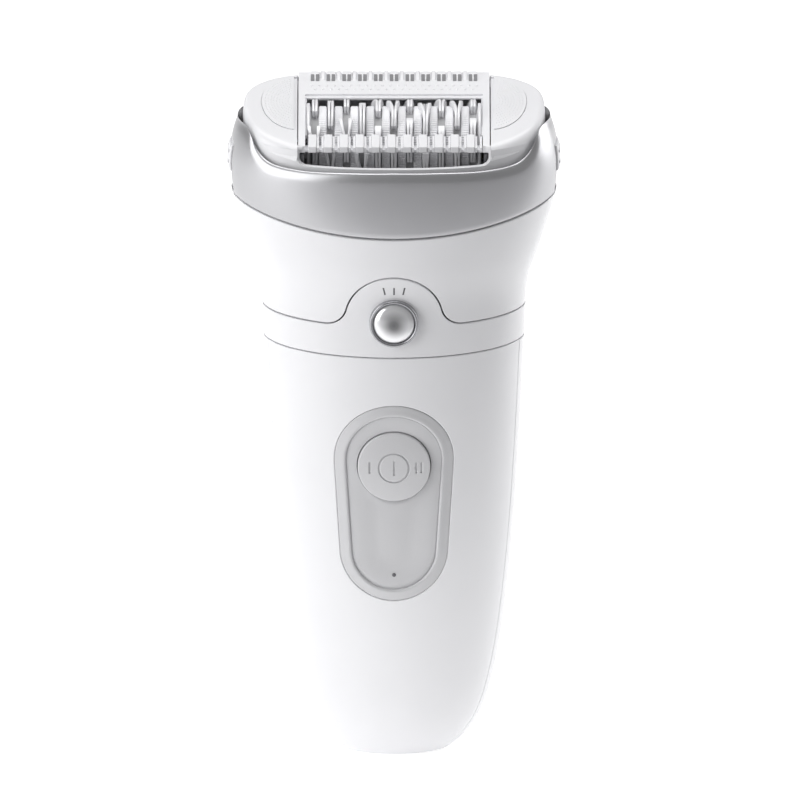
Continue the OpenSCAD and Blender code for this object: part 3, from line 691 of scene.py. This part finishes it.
def release_buttons():
    """Each button: a boss on a flush plate, with grey stripes of painted shade for its grooves, and the leg
    that reaches the latch.
    """
    leg_bars = (
        ((30.2, 34.8), (130.0, 131.2)), ((30.2, 31.0), (122.8, 130.4)),
        ((28.4, 31.0), (122.8, 123.8)), ((28.4, 29.2), (117.0, 123.4)),
    )
    for name, s in (("left", -1), ("right", 1)):
        body = "release_" + name
        boss = side_patch(s, -0.3, 3.5, 134.3, 140.3)
        plate = side_patch(s, 0.3, 3.55, 130.1, 140.9)
        piece("release_cap_" + name, boss, body, BUTTON_WHITE, ["release_button_" + name],
              outward=(0, 0, 137), thick=1.3, bevel=0.45, segments=4)
        piece("release_plate_" + name, plate, body, BUTTON_WHITE,
              outward=(0, 0, 137), thick=0.5, bevel=0.12)
        # Painted shade: two grey stripes, barely proud of the boss, stand in for its shaded grooves.
        ribs = Mesh()
        for z in (136.1, 138.5):
            x = half_w(z) + 0.3
            ribs.box(sorted((s * (x - 0.5), s * (x + 0.04))), (-2.4, 2.4), (z - 0.32, z + 0.32))
        piece("release_groove_shade_" + name, ribs, body, BUTTON_GROOVE_SHADE, bevel=0.1)
        leg = Mesh()
        for x, z in leg_bars:
            leg.box(sorted((s * x[0], s * x[1])), (-3.5, 3.5), z)
        piece("release_leg_" + name, leg, body, BUTTON_WHITE, bevel=0.12)


# ---- Switch panel


def ring_rows(levels, sinks, count=150):
    """Loops round the panel, each drawn in by a level and sunk below the body's surface."""
    rows = []
    for level, sink in zip(levels, sinks):
        row = []
        for k in range(count):
            a = 2 * PI * k / count
            x, z = on_outline(math.sin(a), math.cos(a), level)
            row.append(on_front(x, z, sink))
        rows.append(row)
    return rows


def switch_panel():
    """The raised frame of the switch, the dished thumb pad inside it and the charge light."""
    levels = [0.0, 0.05, 0.3, 0.8, 1.2, 1.6, 1.95, 2.2, 2.4, 2.55, 2.65]
    sinks = [0.5, 0.12, 0.04, 0.0, -0.1, -0.2, -0.26, -0.24, -0.1, 0.15, 0.55]
    frame_ring = Mesh()
    frame_ring.grid(ring_rows(levels, sinks), wrap=True)
    piece("panel_frame", frame_ring, "handle", PANEL, ["switch_panel"],
          outward=(0, 0, PANEL_MID), thick=1.2)
    count, rows_n = 320, 16
    rows = []
    hole = KNOB_R + 0.12
    for r in range(rows_n + 1):
        t = r / rows_n
        row = []
        for k in range(count):
            a = 2 * PI * k / count
            x0, z0 = on_outline(math.sin(a), math.cos(a), 2.6, KNOB_Z)
            x1, z1 = hole * math.sin(a), KNOB_Z + hole * math.cos(a)
            x, z = x0 + (x1 - x0) * t, z0 + (z1 - z0) * t
            depth = -panel_gap(x, z) - 2.6
            row.append(on_front(x, z, 0.3 + 0.75 * ease(depth / 6.5)))
        rows.append(row)
    pad = Mesh()
    pad.grid(rows, wrap=True)
    piece("thumb_dish", pad, "handle", THUMB, ["thumb_pad"],
          outward=(0, 0, PANEL_MID), thick=1.0, even=False)
    led = Mesh()
    z = PANEL_LOW + 5.75
    led.dome(on_front(0, z, 0.66), 0.45, 0.12, (0, -1, 0), sides=20, rings=4)
    piece("charge_led", led, "handle", INK, ["charge_light"])


def knob():
    """A low dome with engraved positions: one, a ring with a bar, and two."""
    front, radius = 17.66, KNOB_R - 0.05
    dome_r = 40.0
    mesh = Mesh()
    count = 120
    rows = []
    for k in range(1, 22):
        r = radius * k / 22
        rows.append((r, front - (dome_r - math.sqrt(dome_r ** 2 - r * r))))
    edge = rows[-1]
    for k in range(1, 7):
        t = PI / 2 * k / 6
        rows.append((edge[0] + (radius - edge[0]) * math.sin(t), edge[1] - 0.45 * (1 - math.cos(t))))
    rows += [(radius, 15.0), (radius - 1, 14.2)]
    mesh.grid([[turned(r, y, 2 * PI * k / count, KNOB_Z) for k in range(count)] for r, y in rows], wrap=True)
    mesh.faces.append(list(range(count)))
    last = (len(rows) - 1) * count
    mesh.faces.append([last + k for k in range(count)][::-1])
    cuts = []
    ahead, ring_r, ring_t = 18.6, 3.3, 0.16
    for x, half in ((-5.3, 1.3), (4.85, 1.25), (6.0, 1.2), (0.0, 1.6)):
        groove = Mesh()
        sag = x * x / (2 * dome_r)
        groove.box((x - 0.17, x + 0.17), (-ahead, -front + sag + 0.24), (KNOB_Z - half, KNOB_Z + half))
        cuts.append(cutter(groove))
    ring = Mesh()
    corners = ((-ring_t, ahead), (ring_t, ahead), (ring_t, front - 0.34), (-ring_t, front - 0.34))
    ring.ring(lambda a: [turned(ring_r + dr, y, a, KNOB_Z) for dr, y in corners], 72)
    cuts.append(cutter(ring))
    piece("rotary_knob", mesh, "power_knob", KNOB, ["power_knob"], cut=cuts)


# ---- Light


def work_light():
    """The plated ring and the domed lens inside it."""
    outer, inner = LENS_R, LENS_R - 0.85
    front = 19.4
    profile = [(outer, 15.0), (outer, front - 0.55)]
    for k in range(1, 7):
        t = PI / 2 * k / 6
        profile.append((outer - 0.42 * (1 - math.cos(t)), front - 0.55 + 0.5 * math.sin(t)))
    for k in range(1, 5):
        t = PI / 2 * k / 4
        profile.append((inner + 0.4 - 0.4 * math.sin(t), front - 0.05 - 0.7 * (1 - math.cos(t))))
    profile += [(inner, 15.0)]
    count, steps = 96, 18
    ring = Mesh()
    ring.ring(lambda a: [turned(r, y, a, LENS_Z) for r, y in profile], count)
    piece("light_ring", ring, "handle", RIM_SILVER, ["light_bezel"])
    rows = []
    radius, crown = inner - 0.05, 1.55
    for s in range(1, steps + 1):
        r = radius * s / steps
        y = front - 0.75 + crown * math.sqrt(max(0.0, 1 - (r / (radius * 1.02)) ** 2)) - 0.05
        rows.append([turned(r, y, 2 * PI * k / count, LENS_Z) for k in range(count)])
    rows.append([(x, -(front - 2.6), z) for x, y, z in rows[-1]])
    mesh = Mesh()
    mesh.grid(rows, wrap=True)
    mesh.faces.append(list(range(count)))
    mesh.faces.append([steps * count + k for k in range(count)][::-1])
    piece("light_dome", mesh, "handle", LENS, ["light_lens"])


# ---- Tilting head


def plan_y(x, power):
    """Half depth of the head's outline seen from above."""
    return HEAD_B * max(0.0, 1 - (abs(x) / HEAD_A) ** power) ** (1 / power)


def wall_y(x, h, side):
    """Half depth of the head's wall at a height over the axis; side is -1 at the front."""
    low = plan_y(x, PLAN_POWER)
    if h < 0:
        return side * math.sqrt(max(low * low - h * h, 0.0))
    power = PLAN_POWER + (0.75 * ease((h - BACK_LOW) / 0.6) if side > 0 else 0)
    return side * plan_y(x, power)


def head_columns():
    """Places round the head's outline, close together at the edges of the cap's bay."""
    xs = [HEAD_A * math.sin(PI / 2 * k / 44) for k in range(-44, 45)]
    for s in (-1, 1):
        near = min(range(len(xs)), key=lambda i: abs(xs[i] - s * CAP_HALF))
        xs[near] = s * CAP_HALF
        xs += [s * (CAP_HALF - d) for d in (0.08, 0.3, 0.6)]
    xs.sort()
    front = [(x, -1) for x in xs]
    back = [(x, 1) for x in xs[-2:0:-1]]
    return front + back


PAD_X, PAD_Y, PAD_A, PAD_B = CAP_HALF, 3.4, 7.8, 11.4


def head_casing():
    """The tilting housing: walls, rounded edge and top face, open where the cap sits."""
    round_of = lambda y: 1.8 - 0.9 * ease((y + 4) / 12)
    columns = head_columns()
    low_n, wall_n, round_n, face_n = 8, 6, 7, 6
    corner = 1.8

    def column(x, side):
        lobe = abs(x) >= CAP_HALF - 1e-6
        y0 = plan_y(x, PLAN_POWER)
        low = -min(4.0, 0.97 * y0 + 0.4)
        shelf = 4.0
        if side < 0 and not lobe:
            inside = max(0.0, abs(x) - (CAP_HALF - corner))
            shelf = 0.8 + corner - math.sqrt(max(0.0, corner ** 2 - inside ** 2))
        rows = []
        for i in range(low_n + 1):
            h = low + (shelf - low) * i / low_n
            rows.append((x, wall_y(x, h, side), h))
        top_y = wall_y(x, 9.0 if side > 0 else 5.0, side)
        f = round_of(top_y)
        rim = top_h(top_y) - f
        rim = max(rim, shelf + 0.2)
        for i in range(1, wall_n + 1):
            h = shelf + (rim - shelf) * i / wall_n
            rows.append((x, wall_y(x, h, side), h))
        edge_y = rows[-1][1]
        for i in range(1, round_n + 1):
            t = PI / 2 * i / round_n
            d = f * (1 - math.cos(t))
            xi, yi = x * (HEAD_A - d) / HEAD_A, edge_y * (HEAD_B - d) / HEAD_B
            if lobe and abs(xi) < CAP_HALF:
                xi = math.copysign(CAP_HALF, x)
            rows.append((xi, yi, top_h(yi) - f * (1 - math.sin(t))))
        inner = rows[-1]
        s = math.copysign(1, x)
        if lobe:
            t = math.atan2(inner[1] - PAD_Y, max(1e-6, (abs(inner[0]) - PAD_X)) * 1.05)
            phi = math.atan2(math.sin(t) / PAD_B, math.cos(t) / PAD_A)
            phi = max(-PI / 2, min(PI / 2, phi))
        else:
            phi = PI / 2 * side
        pad = (s * (PAD_X + (PAD_A + 0.12) * math.cos(phi)), PAD_Y + (PAD_B + 0.12) * math.sin(phi))
        for i in range(1, face_n + 1):
            xi, yi = lerp(inner[:2], pad, i / face_n)
            rows.append((xi, yi, top_h(yi)))
        rows.append((pad[0], pad[1], top_h(pad[1]) - 0.35))
        rows.append((s * PAD_X, pad[1], top_h(pad[1]) - 0.35))
        return rows

    built = [column(x, side) for x, side in columns]
    rows = [[(c[r][0], c[r][1], AXIS_Z + c[r][2]) for c in built] for r in range(len(built[0]))]
    n = len(columns)

    def keep(r, c):
        x0, s0 = columns[c]
        x1, s1 = columns[(c + 1) % n]
        if min(abs(x0), abs(x1)) >= CAP_HALF - 1e-6 and x0 * x1 > 0:
            return True
        side = s0 if abs(x0) < HEAD_A else s1
        return r < (low_n if side < 0 else low_n + wall_n)

    mesh = Mesh()
    mesh.grid(rows, wrap=True, keep=keep)
    piece("head_casing", mesh, "head", HEAD_WHITE, ["head_housing"],
          outward=(0, 0, AXIS_Z), thick=1.2, bevel=0.18, angle=50, even=False)


def skin_pads():
    """The two half-oval pads on top of the head, with rows of fine dots."""
    for name, s in (("left", -1), ("right", 1)):
        edge_x = PAD_X + 0.75
        limit = math.acos(0.95 / PAD_A)
        count, steps = 56, 14
        rows = []
        for r in range(steps + 1):
            row = []
            for k in range(count + 1):
                phi = -limit + 2 * limit * k / count
                out = (PAD_X + PAD_A * math.cos(phi), PAD_Y + PAD_B * math.sin(phi))
                inn = (edge_x, out[1])
                x, y = lerp(out, inn, r / steps)
                row.append((s * x, y, AXIS_Z + top_h(y) + 0.15))
            rows.append(row)
        mesh = Mesh()
        mesh.grid(rows)
        piece("skin_pad_" + name + "_skin", mesh, "head", PAD_WHITE, ["skin_pad_" + name],
              outward=(0, 0, AXIS_Z), thick=0.5, bevel=0.16)
        dots = Mesh()
        ring = 1
        while PAD_A - 0.62 * ring > 1.6:
            a, b = PAD_A - 0.62 * ring - 0.2, (PAD_A - 0.62 * ring - 0.2) * PAD_B / PAD_A
            phi = -PI / 2 + (0.06 if ring % 2 else 0.0)
            while phi < PI / 2:
                x, y = PAD_X + a * math.cos(phi), PAD_Y + b * math.sin(phi)
                if x > edge_x + 0.35:
                    at = (s * x, y, AXIS_Z + top_h(y) + 0.15)
                    dots.dome(at, 0.17, 0.1, (0, -0.17, 1), sides=6, rings=2)
                phi += 0.66 / math.hypot(a * math.sin(phi), b * math.cos(phi))
            ring += 1
        piece("skin_dots_" + name, dots, "head", PAD_WHITE)


# ---- Cap


def lifted(flat, y):
    """A height above the drum's axis, raised where needed to clear the drum."""
    return max(flat, math.sqrt(CLEAR_R ** 2 - y * y)) if abs(y) < CLEAR_R else flat


def cap():
    """The clip-on cap without its comb: bars, ledges, bumps, nubs and ribs."""
    half = CAP_HALF - 0.24
    bar = 1.5
    front, back = -14.0, 17.5
    window = 5.7
    surface = lambda y: AXIS_Z + top_h(y)

    def under(y):
        return AXIS_Z + min(lifted(top_h(y) - CAP_T, y), top_h(y) - 0.5)

    def over(points):
        """An outline given as depths and heights over the cap's face."""
        return [(y, surface(y) + h) for y, h in points]

    bars = Mesh()
    for s in (-1, 1):
        x0, x1 = sorted((s * (half - bar), s * half))
        bars.strip(surface, lambda y: surface(y) - CAP_T, back, front, x0, x1, steps=24)
    bars.strip(surface, under, back, window + 0.9, -half + bar, half - bar, steps=14)
    bars.strip(lambda y: surface(y) - 0.4, lambda y: min(under(y), surface(y) - 0.55), window + 0.9, window,
               -half + bar, half - bar, steps=2)
    piece("cap_bars", bars, "cap", CAP_WHITE, ["cap_frame"], bevel=0.22, angle=40)
    inner = Mesh()
    for s in (-1, 1):
        inner.strip(lambda y: surface(y) - 0.55, lambda y: surface(y) - 1.4, window, -9.2,
                    *sorted((s * (half - bar - 0.3), s * (half - bar))), steps=14)
    piece("cap_inner_ledge", inner, "cap", CAP_WHITE, bevel=0.08)

    bumps = Mesh()
    for row, y in enumerate((10.5, 8.7)):
        for k in range(2 * ROWS + 1):
            x = (k - ROWS) * PITCH / 2 + (0 if row else PITCH / 4)
            if abs(x) < half - bar - 0.5:
                bumps.dome((x, y, surface(y)), 0.3, 0.2, (0, -0.15, 1), sides=10, rings=3)
    piece("cap_bumps", bumps, "cap", CAP_WHITE)

    nubs, ribs, dots = Mesh(), Mesh(), Mesh()
    nub_half, low = 0.95, surface(13.2) - 0.6
    nub_line = over([(17.3, 0.15), (16.0, 0.85), (14.9, 0.75), (13.3, 0.1)])
    # Painted shade: two dark grey sheets on the front slope of each nub stand in for shaded slots; no slots
    # are cut.
    dot_line = over([(12.75, -0.2), (14.6, -0.2), (14.6, 0.84), (13.3, 0.24), (12.75, 0.06)])
    rib_line = over([(12.9, -0.3), (17.4, -0.3), (17.4, 0.45), (16.4, 0.75), (13.6, 0.3)])
    for i in range(ROWS):
        x = (i - (ROWS - 1) / 2) * PITCH
        nubs.prism([(13.2, low), (17.3, low)] + nub_line, x - nub_half, x + nub_half)
        for s in (-1, 1):
            m = x + s * 0.55
            dots.prism(dot_line, m - 0.39, m + 0.39)
        if i < ROWS - 1:
            m = x + PITCH / 2
            ribs.prism(rib_line, m - 0.42, m + 0.42)
    piece("nubs", nubs, "cap", CAP_WHITE, ["massage_nubs"], bevel=0.2)
    # the dark sheets of painted shade on the nubs
    piece("nub_slot_shade_sheets", dots, "cap", NUB_SLOT_SHADE, bevel=0.1)
    piece("nub_ribs", ribs, "cap", CAP_WHITE, bevel=0.18)


def comb():
    """The comb in front of the drum: broad blocks with pairs of thin teeth between them."""
    back, front = -8.9, -14.0
    low = AXIS_Z + top_h(front) - CAP_T
    top = lambda y: AXIS_Z + 5.75 + (4.7 - 5.75) * (y + 8.8) / (-5.2)

    def under(y):
        return AXIS_Z + min(lifted(low - AXIS_Z, y), top(y) - AXIS_Z - 0.15)

    blocks, teeth = Mesh(), Mesh()
    shift = -0.55
    for i in range(ROWS):
        x = (i - (ROWS - 1) / 2) * PITCH + shift
        blocks.strip(top, under, back, front - 0.25, x - 0.9, x + 0.9, steps=8)
        for d in (-0.52, 0.52):
            m = x + PITCH / 2 + d
            if m < CAP_HALF - 2.0:
                teeth.strip(lambda y: top(y) - 0.35, under, back - 0.3, front, m - 0.25, m + 0.25, steps=8)
    piece("comb_blocks", blocks, "cap", CAP_WHITE, ["cap_comb"], bevel=0.2, angle=40)
    piece("comb_teeth", teeth, "cap", CAP_WHITE, bevel=0.08, angle=40)
    rail = Mesh()
    rail.box((-CAP_HALF + 1.6, CAP_HALF - 1.6), (-13.6, -10.6), (low - 0.05, low + 0.55))
    piece("comb_rail", rail, "cap", CAP_WHITE, bevel=0.15)


# ---- Tweezer drum


def on_drum(a, x, r):
    """A place round the drum: angle 0 is at the front, a quarter turn is at the top."""
    return (x, -r * math.cos(a), AXIS_Z + r * math.sin(a))


def drum():
    """The drum's beaded core, its hub and end discs, and four tweezers in each slot."""
    tip_r, half = 10.0, 19.0
    groove = 0.8
    slots = [(i - (ROWS - 1) / 2) * PITCH for i in range(ROWS)]
    edges = [-half + 0.75] + [e for x in slots for e in (x - groove, x + groove)] + [half - 0.75]
    core = Mesh()
    for x0, x1 in zip(edges[0::2], edges[1::2]):
        bead = [(x0, 7.2), (x0, 8.0)]
        inner = min(0.4, (x1 - x0) / 3)
        rise = [PI / 8, PI / 4, 3 * PI / 8, PI / 2]
        bead += [(x0 + inner * (1 - math.cos(t)), 8.0 + 0.5 * math.sin(t)) for t in rise]
        bead += [(x1 - inner * (1 - math.cos(t)), 8.0 + 0.5 * math.sin(t)) for t in rise[::-1]]
        bead += [(x1, 8.0), (x1, 7.2)]
        ribs = 96

        def section(a, bead=bead):
            k = int(round(a * ribs / (2 * PI) * 2))
            dip = 0.0 if k % 2 else 0.09
            return [on_drum(a, x, r - (dip if r > 8.1 else 0)) for x, r in bead]

        core.ring(section, 2 * ribs)
    piece("drum_beads", core, "drum", DRUM, ["drum_core"], smooth=False)
    # Painted shade: the hub under the beads is coloured mid grey, darker than the beads, so the grooves
    # between them read dark.
    hub = Mesh()
    hub_x = half - 0.3
    hub_line = ((-hub_x, 2.0), (-hub_x, 7.4), (hub_x, 7.4), (hub_x, 2.0))
    hub.ring(lambda a: [on_drum(a, x, r) for x, r in hub_line], 96)
    piece("drum_hub", hub, "drum", GROOVE_SHADE, bevel=0.2)
    ends = Mesh()
    for s in (-1, 1):
        x0, x1 = sorted((s * (half - 0.7), s * half))
        ends.ring(lambda a: [on_drum(a, x, r) for x, r in (
            (x0, 1.6), (x0, 9.0), (x0 + 0.12, 9.2), (x1 - 0.12, 9.2), (x1, 9.0), (x1, 1.6))], 96)
    piece("drum_ends", ends, "drum", TWEEZER)

    plates = Mesh()
    steps, reach = 16, 1.12
    opens = (1, 0, 1, 0, 0, 1, 0, 1, 0, 1, 0)
    for i, x in enumerate(slots):
        for q in range(4):
            start = PI / 2 * q + (PI / 4 if i % 2 else 0) + 0.11 * ((i * 3) % 4) - 0.3
            is_open = (opens[i] + q) % 2
            for s in (-1, 1):
                rows = []
                for k in range(steps + 1):
                    t = k / steps
                    a = start + reach * t
                    spread = 0.30 + (1.0 * ease((t - 0.4) / 0.6) if is_open else 0.05 * math.sin(PI * t))
                    if is_open and s > 0:
                        spread = 0.30 + 0.55 * ease((t - 0.3) / 0.7)
                    mid = x + s * spread
                    tip = tip_r - 0.75 * (2 * t - 1) ** 4
                    w = 0.27 + 0.16 * ease((t - 0.65) / 0.3)
                    left = [(mid - w, 7.1), (mid - w, tip - 0.12), (mid - w + 0.1, tip)]
                    right = [(mid + w - 0.1, tip), (mid + w, tip - 0.12), (mid + w, 7.1)]
                    rows.append([on_drum(a, edge, r) for edge, r in left + right])
                plates.bar(rows)
    piece("tweezers", plates, "drum", TWEEZER, ["tweezer_plates"],
          bevel=0.07, angle=40, segments=2)


handle_front()
handle_rear()
foot_rim()
collar_and_neck()
bezel()
release_buttons()
switch_panel()
knob()
work_light()
head_casing()
skin_pads()
cap()
comb()
drum()

# ---- Floor, lights and camera


def floor_material():
    """A pale floor with painted shade and glow: white and glowing behind the object, painted grey in front
    of it, turned a little to the right.
    """
    m = material("floor_painted_shade_and_glow", (0.93, 0.93, 0.93), 0.75, tint=0.01, bump=0.0)
    nodes, links = m.node_tree.nodes, m.node_tree.links
    shader = nodes["Principled BSDF"]
    place = nodes.new("ShaderNodeTexCoord")
    toward = nodes.new("ShaderNodeVectorMath")
    toward.operation = "DOT_PRODUCT"
    turn = math.radians(24)
    toward.inputs[1].default_value = (math.sin(turn), -math.cos(turn), 0)
    links.new(place.outputs["Object"], toward.inputs[0])
    # Painted shade: a smooth step across the floor from white behind the object to grey in front of it.
    front_shade_mask = nodes.new("ShaderNodeMapRange")
    front_shade_mask.interpolation_type = "SMOOTHSTEP"
    front_shade_mask.inputs["From Min"].default_value, front_shade_mask.inputs["From Max"].default_value = 0.06, 0.2
    links.new(toward.outputs["Value"], front_shade_mask.inputs["Value"])
    tones = nodes.new("ShaderNodeValToRGB")
    tones.color_ramp.elements[0].color = (0.93, 0.93, 0.93, 1)
    tones.color_ramp.elements[1].color = (0.58, 0.58, 0.59, 1)
    links.new(front_shade_mask.outputs["Result"], tones.inputs["Fac"])
    links.new(tones.outputs["Color"], shader.inputs["Base Color"])
    # The floor glows where it is white and hardly at all where it is painted grey, so it also lights the
    # object though it is no lamp.
    glow = nodes.new("ShaderNodeMapRange")
    glow.inputs["To Min"].default_value, glow.inputs["To Max"].default_value = 0.42, 0.03
    links.new(front_shade_mask.outputs["Result"], glow.inputs["Value"])
    shader.inputs["Emission Color"].default_value = (1, 1, 1, 1)
    links.new(glow.outputs["Result"], shader.inputs["Emission Strength"])
    return m


def studio():
    """The world, the floor, three soft boxes and a distant camera that looks slightly down."""
    scene = bpy.context.scene
    scene.view_settings.view_transform = "Standard"
    world = bpy.data.worlds.new("studio")
    scene.world = world
    world.use_nodes = True
    back = world.node_tree.nodes["Background"]
    back.inputs["Color"].default_value = (1, 1, 1, 1)
    back.inputs["Strength"].default_value = 0.25
    floor = Mesh()
    r, n, drop = 3000.0, 64, 0.1
    turns = [2 * PI * k / n for k in range(n)]
    floor.add([(r * math.cos(t), r * math.sin(t), -drop) for t in turns], [list(range(n))])
    data = mesh_data("floor", floor)
    obj = bpy.data.objects.new("floor", data)
    scene.collection.objects.link(obj)
    look = floor_material()
    data.materials.append(look)

    def softbox(name, azimuth, elevation, distance, size, power, aim=(0, 0, 0.085)):
        light = bpy.data.lights.new(name, "AREA")
        light.shape, light.size, light.size_y, light.energy = "RECTANGLE", size[0], size[1], power
        lamp = bpy.data.objects.new(name, light)
        a, e = math.radians(azimuth), math.radians(elevation)
        toward = Vector((math.sin(a) * math.cos(e), -math.cos(a) * math.cos(e), math.sin(e)))
        at = Vector(aim) + distance * toward
        lamp.location = at
        lamp.rotation_euler = (at - Vector(aim)).to_track_quat("Z", "Y").to_euler()
        scene.collection.objects.link(lamp)

    softbox("left_softbox", -58, 14, 0.9, (0.7, 0.9), 5.2)
    softbox("right_softbox", 112, 8, 0.9, (0.5, 0.9), 4.4)
    softbox("top_softbox", -160, 84, 0.9, (0.9, 0.7), 6.0)

    camera = bpy.data.cameras.new("camera")
    distance, view_w, tilt = 8000.0, 175.055, math.radians(20)
    camera.sensor_width = 36.0
    camera.lens = camera.sensor_width / view_w * distance
    camera.clip_end = 30
    eye = bpy.data.objects.new("camera", camera)
    aim = Vector((1.31, 0.0, 79.9)) * MM
    eye.location = aim + distance * MM * Vector((0, -math.cos(tilt), math.sin(tilt)))
    eye.rotation_euler = (PI / 2 - tilt, 0, 0)
    scene.collection.objects.link(eye)
    scene.camera = eye


studio()
